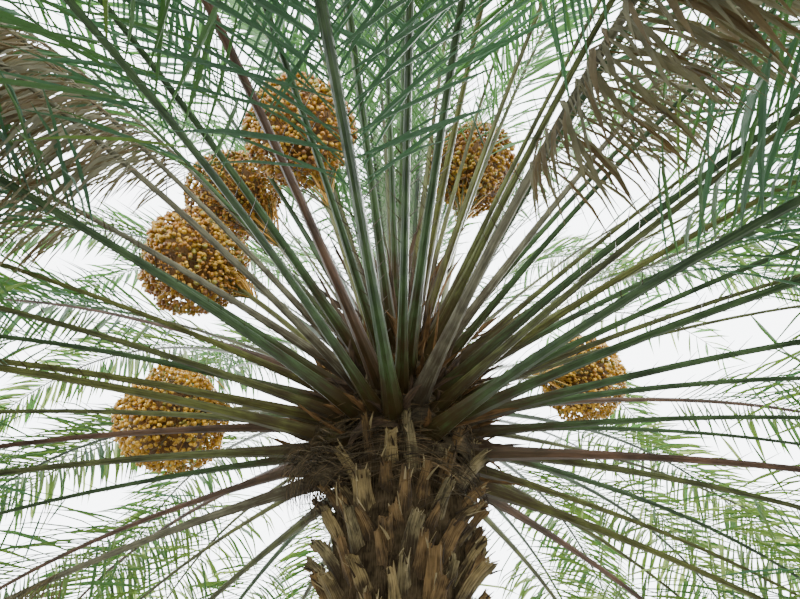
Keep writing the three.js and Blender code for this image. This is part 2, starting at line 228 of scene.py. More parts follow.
def linear(code):
    """An sRGB hex colour as linear numbers: a straight foot below 0.04045, and a power of 2.4 above it."""
    parts = np.array([int(code[i : i + 2], 16) / 255 for i in (1, 3, 5)])
    low = parts / 12.92
    high = ((parts + 0.055) / 1.055) ** 2.4
    return tuple(float(v) for v in np.where(parts <= 0.04045, low, high))


def add_object(name, data):
    """Adds an object for a mesh, a light or a camera to the scene."""
    made = bpy.data.objects.new(name, data)
    bpy.context.scene.collection.objects.link(made)
    return made


class Pile:
    """Closed skins of one kind, gathered as whole arrays for one mesh."""

    def __init__(self):
        self.vertices, self.faces, self.finishes, self.runs, self.count = [], [], [], [], 0

    def sweep(self, centre, side, above, profile, start=None, end=None, finish=0):
        """Carries rings along n lines: each point is centre + x * side + y * above, and z * (side cross
        above) where the profile has a z. The rings run counter-clockwise seen from ahead, and each end closes
        in a fan round one point, which is the ring's mean unless it is given. The attribute run keeps x and
        y, shifted for each skin, and the length along the line, so that a pattern can follow the grain.
        finish is a number for each skin. Nothing reaches below the ground."""
        count, steps, around = profile.shape[:3]
        side, above = (np.broadcast_to(grid, centre.shape) for grid in (side, above))
        axes = np.stack([side, above, np.cross(side, above)], 2)[:, :, : profile.shape[3]]
        rings = centre[:, :, None] + profile @ axes
        start = rings[:, 0].mean(1) if start is None else start
        end = rings[:, -1].mean(1) if end is None else end
        lengths = np.linalg.norm(np.diff(centre, axis=1), axis=-1).cumsum(1)
        lengths = np.concatenate([np.zeros((count, 1)), lengths], 1)
        shift = np.arange(count)[:, None] * np.array([1.7, 2.3, 0])
        along = np.broadcast_to(lengths[..., None, None], profile.shape[:3] + (1,))
        run = np.concatenate([profile[..., :2], along], -1).reshape(count, -1, 3)
        run = np.concatenate([run[:, :1], run, run[:, -1:]], 1) + shift[:, None]
        points = np.concatenate([start[:, None], rings.reshape(count, -1, 3), end[:, None]], 1)
        points[..., 2] = np.maximum(points[..., 2], 0)
        j = np.arange(around)
        following = (j + 1) % around
        a = 1 + np.arange(steps - 1)[:, None] * around + j
        b = 1 + np.arange(steps - 1)[:, None] * around + following
        last = 1 + (steps - 1) * around
        faces = np.concatenate(
            [
                np.stack([np.zeros(around, int), 1 + following, 1 + j], -1),
                np.stack([a, b, b + around], -1).reshape(-1, 3),
                np.stack([a, b + around, a + around], -1).reshape(-1, 3),
                np.stack([last + j, last + following, np.full(around, steps * around + 1)], -1),
            ]
        )
        size = steps * around + 2
        offsets = self.count + np.arange(count) * size
        self.vertices.append(points.reshape(-1, 3))
        self.runs.append(run.reshape(-1, 3))
        self.faces.append((faces[None] + offsets[:, None, None]).reshape(-1, 3))
        self.finishes.append(np.repeat(np.broadcast_to(finish, count), len(faces)))
        self.count += count * size

    def grow(self, root, heading, length, bend, hint, radius, finish):
        """Sweeps three-sided strands along bending lines. radius has a column for each ring."""
        places, along = lines_from(root, heading, length, radius.shape[1], bend)
        self.sweep(places, *frames(along, hint[:, None]), strand_profile(radius, 3), finish=finish)

    def to_object(self, name, materials, nodes, smooth=True):
        """One mesh object at the origin, which rides on the root body and stands for the CAD nodes."""
        mesh = bpy.data.meshes.new(name)
        vertices = np.concatenate(self.vertices).astype(np.float32)
        faces = np.concatenate(self.faces).astype(np.int32)
        mesh.vertices.add(len(vertices))
        mesh.vertices.foreach_set("co", vertices.ravel())
        mesh.loops.add(faces.size)
        mesh.loops.foreach_set("vertex_index", faces.ravel())
        mesh.polygons.add(len(faces))
        mesh.polygons.foreach_set("loop_start", np.arange(0, faces.size, 3, dtype=np.int32))
        for material in materials:
            mesh.materials.append(material)
        mesh.polygons.foreach_set("material_index", np.concatenate(self.finishes).astype(np.int32))
        mesh.polygons.foreach_set("use_smooth", np.full(len(faces), smooth))
        run = mesh.attributes.new("run", "FLOAT_VECTOR", "POINT")
        run.data.foreach_set("vector", np.concatenate(self.runs).astype(np.float32).ravel())
        mesh.update(calc_edges=True)
        made = add_object(name, mesh)
        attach(made, "root")
        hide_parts(*nodes)
        return made


def lines_from(root, heading, length, steps, bend):
    """Lines of equal steps: each sets off along its heading, and bend times the square of the share of its
    length is added to the direction on the way. Returns the points and directions, n by steps by 3."""
    share = np.linspace(0, 1, steps)
    along = unit(heading[:, None] + bend[:, None] * share[None, :, None] ** 2)
    middle = unit(along[:, 1:] + along[:, :-1])
    moves = middle * (length / (steps - 1))[:, None, None]
    places = root[:, None] + np.concatenate([np.zeros_like(root)[:, None], moves.cumsum(1)], 1)
    return places, along


def strand_profile(radius, around):
    """Rings of a round strand: a circle times the radius."""
    return radius[..., None, None] * circle(around)


def rib_profile(half):
    """The section of a leaf stalk, as shares of its width and thickness: the upper face sags between two
    sharp edges, a narrow face stands below each edge, and the underside is a rounded keel."""
    x = np.cos(np.linspace(0, np.pi, half)) / 2
    top = 0.3 - 0.13 * (1 - (2 * x) ** 2)
    under = 0.17 - 0.87 * (1 - np.abs(2 * x) ** 1.7) ** 0.75
    return np.concatenate([np.stack([x, top], -1), np.stack([-x, under], -1)])


# The rule of the crown


def trunk_radius(height):
    """Below the crown the radius grows a little towards the ground and flares at the foot. Above it the
    radius tapers by a power of the share of the head's height."""
    height = np.asarray(height, float)
    share = np.clip((height - CROWN_BASE) / HEAD_HEIGHT, 0, 1)
    head = TRUNK_RADIUS * (1 - HEAD_TAPER * share**1.7)
    foot = 1 + FLARE * np.exp(-np.maximum(height, 0) / FLARE_HEIGHT) + 0.06 * (1 - height / CROWN_BASE)
    return np.where(height > CROWN_BASE, head, TRUNK_RADIUS * foot)


Path = namedtuple("Path", "place along side above")


def frond_plan(n):
    """How frond n grows: 0 is the oldest and lowest. The pitch is above the level at the trunk, and the droop
    is what it loses by the tip."""
    youth = (n + 0.5) / FROND_COUNT
    dry = n in DRY_FRONDS
    return SimpleNamespace(
        n=n,
        youth=youth,
        dry=dry,
        young=n >= FROND_COUNT - YOUNG_COUNT,
        azimuth=FIRST_AZIMUTH + GOLDEN_ANGLE * n + spread(n, 1, 6),
        height=CROWN_BASE + HEAD_HEIGHT * youth,
        pitch=-6 + 92 * youth**1.5 + spread(n, 2, 5),
        droop=56 + 34 * youth - 66 * youth**2 + spread(n, 3, 10) + (8 if dry else 0),
        length=FROND_LENGTH * (1 - 0.2 * youth**3 + spread(n, 4, 0.08)),
        sweep=spread(n, 5, 14),
        twist=spread(n, 6, 70),
        stout=1 - 0.36 * youth,
    )


def frond_path(plan):
    """The rib at equal steps, from the trunk's surface to the tip. Its pitch falls by the droop times 0.3 s +
    0.7 s squared, and its sweep and twist grow with the square of s."""
    s = np.linspace(0, 1, PATH_STEPS + 1)
    pitch = np.radians(plan.pitch - plan.droop * (0.3 * s + 0.7 * s * s))
    azimuth = plan.azimuth + plan.sweep * s * s
    along = from_axis(azimuth, np.cos(pitch), np.sin(pitch))
    turn = np.radians(plan.twist * s * s)[:, None]
    level = sideways(azimuth)
    side = level * np.cos(turn) + np.cross(along, level) * np.sin(turn)
    start = from_axis(plan.azimuth, trunk_radius(plan.height), plan.height)
    moves = along[:-1] * (plan.length / PATH_STEPS)
    place = start + np.concatenate([np.zeros((1, 3)), moves.cumsum(0)])
    return Path(place, along, side, np.cross(along, side))


def path_at(path, s):
    """Places and directions at shares s of the rib, between its steps. Below 0 the rib goes straight back."""
    s = np.asarray(s, float)
    inside = np.clip(s, 0, 1)
    whole = np.minimum(PATH_STEPS - 1, np.floor(inside * PATH_STEPS).astype(int))
    rest = (inside * PATH_STEPS - whole)[:, None]
    place, *axes = (grid[whole] * (1 - rest) + grid[whole + 1] * rest for grid in path)
    return Path(place, *map(unit, axes))


def rib_width(plan, s):
    """The rib is broadest where it clasps the trunk, and thins to its tip."""
    s = np.clip(s, 0, 1)
    clasp = CLASP_WIDTH * (1 - 0.65 * plan.youth) * np.exp(-s * plan.length / 0.150)
    return plan.stout * (TIP_WIDTH + PETIOLE_WIDTH * (1 - s) ** 0.9 + clasp)


def bunch_centre(bunch):
    """The middle of a bunch, out from the axis and up from the crown's base."""
    return from_axis(bunch.azimuth, bunch.distance, CROWN_BASE + bunch.rise)


def stalk_points(bunch, t):
    """Points of a stalk, a bow from the axil of its frond to the middle of its dates."""
    axil = frond_plan(bunch.axil)
    height = axil.height + AXIL_RISE
    root = from_axis(axil.azimuth, trunk_radius(height) - 0.040, height)
    centre = bunch_centre(bunch)
    return bow(root, root * 0.45 + centre * 0.55 + UP * 0.090, centre, t)


def obstacles():
    """Balls that the ribs keep clear of: each mass of dates, and points of its stalk."""
    centres = np.concatenate([np.vstack([bunch_centre(b), stalk_points(b, STALK_BALLS)]) for b in BUNCHES])
    radii = np.concatenate([[b.diameter * 0.54] + [STALK_WIDTH / 2] * len(STALK_BALLS) for b in BUNCHES])
    return centres, radii


def is_blocked(plan, path, centres, radii):
    """True if a ball is nearer a stretch of the rib than its own radius and half the rib's width."""
    a, b = path.place[:-1, None], path.place[1:, None]
    line = b - a
    share = np.clip(((centres - a) * line).sum(-1) / (line * line).sum(-1), 0, 1)[..., None]
    distance = np.linalg.norm(a + line * share - centres, axis=-1)
    reach = rib_width(plan, np.arange(PATH_STEPS) / PATH_STEPS) / 2 + DODGE_GAP
    return bool((distance < radii + reach[:, None]).any())


def is_crowded(plan, plans):
    """True if another frond's root is too close beside this one's."""
    for other in plans:
        if other is plan:
            continue
        room = (rib_width(plan, 0) + rib_width(other, 0)) / 2
        beside = math.radians(turn_between(plan.azimuth, other.azimuth)) * trunk_radius(plan.height)
        if math.hypot(beside, (plan.height - other.height) * 1.2) < room:
            return True
    return False


def clear_path(plan, plans, balls):
    """The rib, swung aside, raised or lowered as little as clears the fruit, or None if it has no room."""
    azimuth, pitch = plan.azimuth, plan.pitch
    for k in range(DODGE_TRIES):
        for raised in DODGE_PITCHES:
            plan.azimuth = azimuth + (1 if k % 2 else -1) * math.ceil(k / 2) * DODGE_STEP
            plan.pitch = pitch + raised
            path = frond_path(plan)
            moved = k > 0 or raised != 0
            if not is_blocked(plan, path, *balls) and not (moved and is_crowded(plan, plans)):
                return path
    plan.azimuth = azimuth
    return None


@lru_cache(maxsize=1)
def grown_fronds():
    """The plan of each frond of the crown, with its path, its share of leaflets and its CAD node's name."""
    plans = [frond_plan(n) for n in range(FROND_COUNT)]
    balls = obstacles()
    fronds = []
    for plan in plans:
        path = clear_path(plan, plans, balls)
        if path is None:
            continue
        number = 1 + sum(not frond.young for frond in fronds)
        plan.node = "young_leaves" if plan.young else f"frond_{number:02d}"
        plan.path, plan.leaflets = path, 1
        fronds.append(plan)
    return sorted(fronds + finer_fronds(fronds, balls), key=lambda frond: frond.n)


def finer_fronds(grown, balls):
    """Slimmer fronds at the half steps of the spiral. The solid of the next older frond of its kind, green or
    dry, stands for each. Those on the shaded side, towards -X, keep more of their leaflets."""
    fronds = []
    for n in np.arange(FINER_FROM + 0.5, FROND_COUNT):
        plan = frond_plan(n)
        plan.stout *= FINER_STOUT
        plan.path = frond_path(plan)
        plan.node = [frond.node for frond in grown if frond.n < n and frond.dry == plan.dry][-1]
        plan.leaflets = FINER_LEAFLETS * (1 - SHADE * math.cos(math.radians(plan.azimuth)))
        if not is_blocked(plan, plan.path, *balls):
            fronds.append(plan)
    return fronds


def bunch_nodes():
    """The CAD nodes of the bunches."""
    return [f"date_bunch_{i + 1}" for i in range(len(BUNCHES))]


# Finishes


def add_node(tree, kind, inputs=None, **settings):
    """Adds a node with its settings. An input is a value, or the socket that feeds it."""
    made = tree.nodes.new("ShaderNode" + kind)
    for key, value in settings.items():
        setattr(made, key, value)
    for key, value in (inputs or {}).items():
        if isinstance(value, bpy.types.NodeSocket):
            tree.links.new(value, made.inputs[key])
        else:
            made.inputs[key].default_value = value
    return made


def plant_finish(name, colour, second, patch, grain, roughness, relief, through=None, foot=None, shine=0.5):
    """A plant's skin. Its colour wanders between two tones, hex codes or linear, over patches, and streaks
    follow the grain: patch and grain are their widths in metres. relief is the depth of the grain in metres.
    through is the colour of the light that shines through a thin blade. foot is a colour and two lengths:
    from the start of the skin the foot's colour gives way between them to its own."""
    colour, second = (linear(tone) if isinstance(tone, str) else tone for tone in (colour, second))
    material = bpy.data.materials.new(name)
    material.use_nodes = True
    tree = material.node_tree
    tree.nodes.clear()
    place = add_node(tree, "TexCoord").outputs["Object"]
    run = add_node(tree, "Attribute", attribute_name="run").outputs["Vector"]
    wide = {"Vector": place, "Scale": 1 / patch, "Detail": 3.0}
    patches = add_node(tree, "TexNoise", wide).outputs["Fac"]
    drawn_out = {"Vector": run, "Scale": (1, 1, 1 / STREAK_LENGTH)}
    stretched = add_node(tree, "Mapping", drawn_out).outputs["Vector"]
    narrow = {"Vector": stretched, "Scale": 1 / grain, "Detail": 4.0}
    streaks = add_node(tree, "TexNoise", narrow).outputs["Fac"]
    both = add_node(tree, "Math", {0: patches, 1: streaks}, operation="ADD").outputs[0]
    share = add_node(tree, "MapRange", {"Value": both, "From Min": 0.78, "From Max": 1.22}).outputs["Result"]
    tones = {0: share, 6: (*colour, 1), 7: (*second, 1)}
    tone = add_node(tree, "Mix", tones, data_type="RGBA").outputs[2]
    if foot is not None:
        darker_foot, low, high = foot
        ragged = RAGGED * high
        ahead = add_node(tree, "SeparateXYZ", {"Vector": run}).outputs["Z"]
        edge = {0: both, 1: ragged, 2: ahead}
        wander = add_node(tree, "Math", edge, operation="MULTIPLY_ADD").outputs[0]
        limits = {"Value": wander, "From Min": low + ragged, "From Max": high + ragged}
        past = add_node(tree, "MapRange", limits, interpolation_type="SMOOTHSTEP").outputs["Result"]
        tone = add_node(tree, "Mix", {0: past, 6: (*darker_foot, 1), 7: tone}, data_type="RGBA").outputs[2]
    bump = add_node(tree, "Bump", {"Height": streaks, "Distance": relief, "Strength": 1.0})
    look = {"Base Color": tone, "Roughness": roughness, "IOR": 1.45, "Specular IOR Level": shine}
    surface = add_node(tree, "BsdfPrincipled", {**look, "Normal": bump.outputs["Normal"]}).outputs[0]
    if through is not None:
        lit = add_node(tree, "BsdfTranslucent", {"Color": (*through, 1)}).outputs[0]
        surface = add_node(tree, "MixShader", {0: GLOW, 1: surface, 2: lit}).outputs[0]
    add_node(tree, "OutputMaterial", {"Surface": surface})
    return material


def leaflet_finishes(sizes):
    """Living leaflet: smooth leaf under a thin bloom of wax, with veins 1.5 mm apart along it, so it shines
    softly and light from behind turns it yellow-green."""
    # Painted light and shade: the first four are one leaf in tones from painted shade to painted sunlight,
    # dealt by the side of the crown. The fifth, fresh green, is also painted lighter.
    kinds = (
        ("leaflet, deep blue-green, painted shade", sizes.deep_green_painted_shade, "#83a77f"),
        ("leaflet, mid green", sizes.mid_green, "#86a966"),
        ("leaflet, yellow-green", sizes.light_green, "#a1b86a"),
        ("leaflet, painted sunlit pale green", sizes.painted_sunlit_green, "#cfdca0"),
        ("young leaflet, fresh green, painted light", sizes.fresh_green_painted_light, "#9ac37f"),
    )
    tones = [(name, np.array(front), linear(through)) for name, front, through in kinds]
    return [
        plant_finish(name, tone * 0.8, tone * 1.22, 0.09, 0.0015, 0.5, 0.0003, through)
        for name, tone, through in tones
    ]


def length_property(name, description, metres):
    """A length that a user can change."""
    return bpy.props.FloatProperty(name=name, description=description, default=metres, unit="LENGTH")


def count_property(name, description, count):
    """A number of pieces that a user can change."""
    return bpy.props.IntProperty(name=name, description=description, default=count)


def colour_property(name, description, code):
    """A colour that a user can change, from an sRGB hex value."""
    return bpy.props.FloatVectorProperty(
        name=name, description=description, subtype="COLOR", size=3, min=0, max=1, default=linear(code)
    )


class PalmTrunk(bpy.types.PropertyGroup):
    """Sizes and colours of the trunk."""

    base_width: length_property("Base width", "Width of a leaf base at its sawn end", 0.042)
    base_thickness: length_property("Base thickness", "Thickness of a leaf base at its sawn end", 0.026)
    fibre_count: count_property("Fibres", "Number of loose strands of sheath fibre on the head", 1300)
    tan: colour_property("Tan", "Weathered face of a leaf base", "#6c5d3c")
    russet: colour_property("Russet", "Foot of a leaf base and the drier bases", "#5a472b")
    dark: colour_property("Dark", "Fibre in the gaps between the bases", "#393022")


class PalmFronds(bpy.types.PropertyGroup):
    """Sizes and colours of the fronds."""

    leaflets: count_property("Leaflets", "Leaflets on each side of a frond", 118)
    leaflet_width: length_property("Leaflet width", "Greatest width of a leaflet", 0.0180)
    # Painted light and shade: the deep, mid, light and sunlit greens are dealt to the leaflets by the side of
    # the crown, darker away from the sun and paler towards it.
    deep_green_painted_shade: colour_property("Deep green", "Darkest blue-green leaflets, painted shade, most on the side away from the sun", "#2f4637")
    mid_green: colour_property("Mid green", "Most leaflets", "#354f2f")
    light_green: colour_property("Light green", "Paler leaflets, painted light, more of them on the sunny side", "#4c5d33")
    painted_sunlit_green: colour_property("Sunlit green", "Palest leaflets, painted sunlight, most on the sunny side", "#6f8250")
    # Fresh green: young leaflets are fresher, and this tone is also painted lighter, as light in the middle
    # of the crown.
    fresh_green_painted_light: colour_property("Fresh green", "Leaflets of the young leaves, fresher and painted lighter", "#496a3d")
    stalk_green: colour_property("Stalk green", "Waxy leaf stalks", "#434727")
    stalk_red: colour_property("Stalk red", "Sun-browned leaf stalks", "#493525")
    straw: colour_property("Straw", "Dead leaflets", "#68654f")


class PalmFruit(bpy.types.PropertyGroup):
    """Sizes and colours of the fruit."""

    date_length: length_property("Date length", "Length of a full date", 0.0230)
    dates: count_property("Dates", "Number of full-size dates in a bunch", 1420)
    golden: colour_property("Golden", "Ripening dates", "#aa8224")
    amber: colour_property("Amber", "Riper dates", "#986618")
    greenish: colour_property("Greenish", "Dates that have begun to turn", "#85782a")
    brown: colour_property("Brown", "The ripest dates", "#74491a")
    # Painted sunlight: the pale dates stand for the light on the bunches that hang out in the sun.
    pale: colour_property("Pale", "Painted sunlight: dates of the bunches that hang out in the sun", "#d2a234")
    stalk: colour_property("Stalk", "Fruit stalks and strands", "#56582a")


class PalmStage(bpy.types.PropertyGroup):
    """Floor, light and camera."""

    floor_size: length_property("Floor size", "Side of the square floor", 60.0)
    eye: bpy.props.FloatVectorProperty(
        name="Eye", description="Place of the camera", default=(0.0, -2.17, 1.6), subtype="XYZ", unit="LENGTH"
    )
    lift: bpy.props.FloatProperty(
        name="Lift",
        description="Angle of the camera above the level",
        default=math.radians(42),
        subtype="ANGLE",
    )


# Pieces


class PALM_OT_column(bpy.types.Operator):
    """Makes the trunk under its leaf bases, up to the growing point"""

    bl_idname = "palm.column"
    bl_label = "Column"

    def execute(self, context):
        top = CROWN_BASE + HEAD_HEIGHT * 1.1
        height = np.concatenate([[0, 0.004], np.linspace(0.012, top, COLUMN_RINGS - 2)])
        turn = np.arange(COLUMN_POINTS) * 2 * np.pi / COLUMN_POINTS
        z, t = np.meshgrid(height, turn, indexing="ij")
        # The feet of the bases swell in the same rows, with furrows of fibre between them.
        cell = t * BASES_AROUND / (2 * np.pi) - z / ROW_HEIGHT / 2
        swell = 0.009 * np.cos(2 * np.pi * cell) * np.cos(np.pi * z / ROW_HEIGHT) ** 2
        fibre = 0.0035 * np.sin(39 * t + 7 * np.sin(9 * z)) * np.sin(31 * z + 5 * t)
        fine = 0.003 * spread(np.arange(z.size).reshape(z.shape), 41, 2)
        relief = (swell + fibre + fine) * np.clip(z / 0.02, 0, 1) * np.clip((top - z) / 0.1, 0, 1)
        radius = (trunk_radius(z) + relief) * np.clip((top - z) / 0.12, 0, 1) ** 0.5 + 0.002
        pile = Pile()
        profile = (radius[..., None] * circle(COLUMN_POINTS))[None]
        pile.sweep((UP * height[:, None])[None], [1.0, 0, 0], [0, 1.0, 0], profile)
        # Matted sheath fibre: dull brown threads that lie close round the trunk and take no shine.
        dark = np.array(context.scene.palm_trunk.dark)
        mat = plant_finish(
            "sheath fibre, matted brown", dark * 0.3, dark * 1.3, 0.04, 0.003, 1.0, 0.004, shine=0.0
        )
        pile.to_object("trunk_column", [mat], ["trunk"])
        return {"FINISHED"}


def base_lines(row, place, shorter):
    """Leaf bases of the column: each bows from inside the trunk to its sawn end, a strap that leans out and a
    little aside. Returns its three points, its level side and its number."""
    k = row * BASES_AROUND + place
    above = np.maximum(0, row - BASE_ROWS)
    low = ROW_HEIGHT * np.minimum(row, BASE_ROWS) + HEAD_HEIGHT * HEART_SHARE * above / HEAD_ROWS
    low = low + spread(k, 28, 0.030) * (row > 0.5)
    azimuth = (row / 2 + place + 0.75) * 360 / BASES_AROUND + spread(k, 25, 10)
    worn = 0.62 + 0.38 * np.minimum(1, (row + 1) / (0.6 * BASE_ROWS))
    length = (BASE_LENGTH * worn * shorter * (0.62 + spread(k, 22, 0.32)))[:, None]
    lean = np.radians(BASE_LEAN + spread(k, 21, 22))
    aside = sideways(azimuth) * spread(k, 27, 0.55)[:, None]
    along = unit(from_axis(azimuth, np.sin(lean), np.cos(lean)) + aside)
    foot = from_axis(azimuth, trunk_radius(low), low)
    start = from_axis(azimuth, trunk_radius(low) - 0.034, np.maximum(low - 0.045, 0.016))
    middle = foot + outward(azimuth) * 0.006 + UP * (0.38 * length)
    return start, middle, foot + along * length, sideways(azimuth + spread(k, 29, 34)), k


class PALM_OT_bases(bpy.types.Operator):
    """Makes the sawn leaf bases, with their ridges and splintered ends"""

    bl_idname = "palm.bases"
    bl_label = "Leaf bases"

    def execute(self, context):
        sizes = context.scene.palm_trunk
        width, thickness = sizes.base_width, sizes.base_thickness
        pile = Pile()
        row, place = np.divmod(np.arange(MADE_ROWS * BASES_AROUND, dtype=float), BASES_AROUND)
        broken = np.where(chance(row * BASES_AROUND + place, 30) < 0.18, 0.6, 1.0)
        self.add_straps(pile, row, place, self.trimmed(row, place, broken), width, thickness)
        # Stubs of the sheaths between the bases: narrower, and most of them dark.
        row, place = row[: BASE_ROWS * BASES_AROUND] + 0.5, place[: BASE_ROWS * BASES_AROUND] + 0.25
        broken = np.where(chance(row * BASES_AROUND + place, 30) < 0.4, 0.5, 0.9)
        self.add_straps(pile, row, place, broken, width * 0.76, thickness * 0.8, 1)
        tan, russet = np.array(sizes.tan), np.array(sizes.russet)
        darker_foot = (tuple(russet * 0.22), 0.035, 0.12)
        # Weathered leaf base: woody straps bleached tan, grooved along, and darker towards the foot where
        # each leaves the trunk.
        materials = [
            plant_finish(name, first, second, 0.05, 0.003, 0.9, 0.004, foot=darker_foot, shine=0.25)
            for name, first, second in (
                ("leaf base, golden tan", tan * 0.15, tan * 1.35),
                ("leaf base, grey tan", tan * [0.15, 0.17, 0.2], tan * [1.2, 1.3, 1.5]),
                ("leaf base, russet", russet * 0.15, russet * 1.4),
            )
        ]
        # Torn wood: clean fibres in the splinters, paler than the weathered face.
        clean = tan * [1.6, 1.7, 1.9]
        materials.append(plant_finish("leaf base, torn pale wood", tan * 0.8, clean, 0.03, 0.002, 0.8, 0.001))
        pile.to_object("leaf_bases", materials, ["trunk"], smooth=False)
        return {"FINISHED"}

    def trimmed(self, row, place, shorter):
        """Shortens the bases that would end in a frond's stalk."""
        share = np.linspace(0, 0.1, 7)
        ribs = np.concatenate([path_at(f.path, share).place for f in grown_fronds()])
        wide = np.concatenate([rib_width(f, share) for f in grown_fronds()])
        for less in (0.8, 0.6, 0.45):
            end = base_lines(row, place, shorter)[2]
            gap = (np.linalg.norm(end[:, None] - ribs, axis=-1) - wide / 2).min(1)
            shorter = np.where(gap < 0.022, np.minimum(less, shorter), shorter)
        return shorter

    def add_straps(self, pile, row, place, shorter, width, thickness, kind=0):
        """Carries the stalk's section, ridged at random, from the foot of each base to its end, and cuts it
        off slanting, with fibres that stand out and others torn short."""
        start, middle, end, level, k = base_lines(row, place, shorter)
        k = k + 1000 * kind
        t = np.linspace(0, 1, BASE_STEPS)
        centre = bow(start, middle, end, t)
        along = unit((middle - start)[:, None] * (1 - t)[:, None] + (end - middle)[:, None] * t[:, None])
        side, above = frames(along, unit(np.cross(along, level[:, None])))
        width = width * (0.86 + spread(k, 24, 0.4))[:, None]
        width = width + (0.080 - width) * (1 - t) ** 2
        thick = thickness * (1 + spread(k, 26, 0.35))[:, None] * (0.7 + 0.3 * t)
        shape = rib_profile(BASE_HALF) - [0, 0.3]
        number = k[:, None] * 2 * BASE_HALF + np.arange(2 * BASE_HALF)
        ridges = 1 + spread(number, 51, 0.5)
        profile = shape * np.stack([width, thick], -1)[:, :, None] * ridges[:, None, :, None]
        ring = np.arange(BASE_STEPS)[:, None]
        profile = profile * (1 + spread(number[:, None] * 8 + ring, 56, 0.12))[..., None]
        slant = spread(k, 23, 0.056)[:, None] * shape[:, 0] + 0.020 * chance(number, 52) ** 2 - 0.004
        profile = np.concatenate([profile, np.zeros_like(profile[..., :1])], -1)
        rim = np.concatenate([profile[:, -1, :, :2], slant[..., None]], -1)
        profile = np.concatenate([profile, rim[:, None]], 1)
        centre, side, above = (np.concatenate([grid, grid[:, -1:]], 1) for grid in (centre, side, above))
        hollow = centre[:, -1] - along[:, -1] * 0.014 - above[:, -1] * thick[:, -1:] * 0.4
        finish = np.where(chance(k, 53) < 0.28, 2, np.where(chance(k, 54) < 0.45, 0, 1))
        finish = np.where((kind == 1) & (chance(k, 57) < 0.6), 2, finish)
        pile.sweep(centre, side, above, profile, end=hollow, finish=finish)
        axes = np.stack([side[:, -1], above[:, -1], along[:, -1]], 1)
        self.add_splinters(pile, k, centre[:, -1, None] + rim @ axes, axes)

    def add_splinters(self, pile, k, rim, axes):
        """Slivers that stand on from each sawn end and beside it, long and thin."""
        which = np.repeat(np.arange(len(k)), SPLINTERS)
        number = np.arange(len(which)) + 40 * k[0]
        side, above, along = (axes[which, i] for i in range(3))
        corner = np.floor(chance(number, 61) * rim.shape[1]).astype(int)
        low = 0.012 + 0.05 * chance(number, 66) ** 2
        root = rim[which, corner] - along * low[:, None]
        lean = side * spread(number, 62, 0.7)[:, None] + above * spread(number, 63, 0.7)[:, None]
        length = low + 0.004 + 0.024 * chance(number, 64) ** 2
        radius = np.array([0.0034, 0.0026, 0.0008]) * (0.5 + chance(number, 65))[:, None]
        finish = np.where(chance(number, 67) < 0.5, 3, 2)
        pile.grow(root, unit(along + lean), length, lean, above, radius, finish)


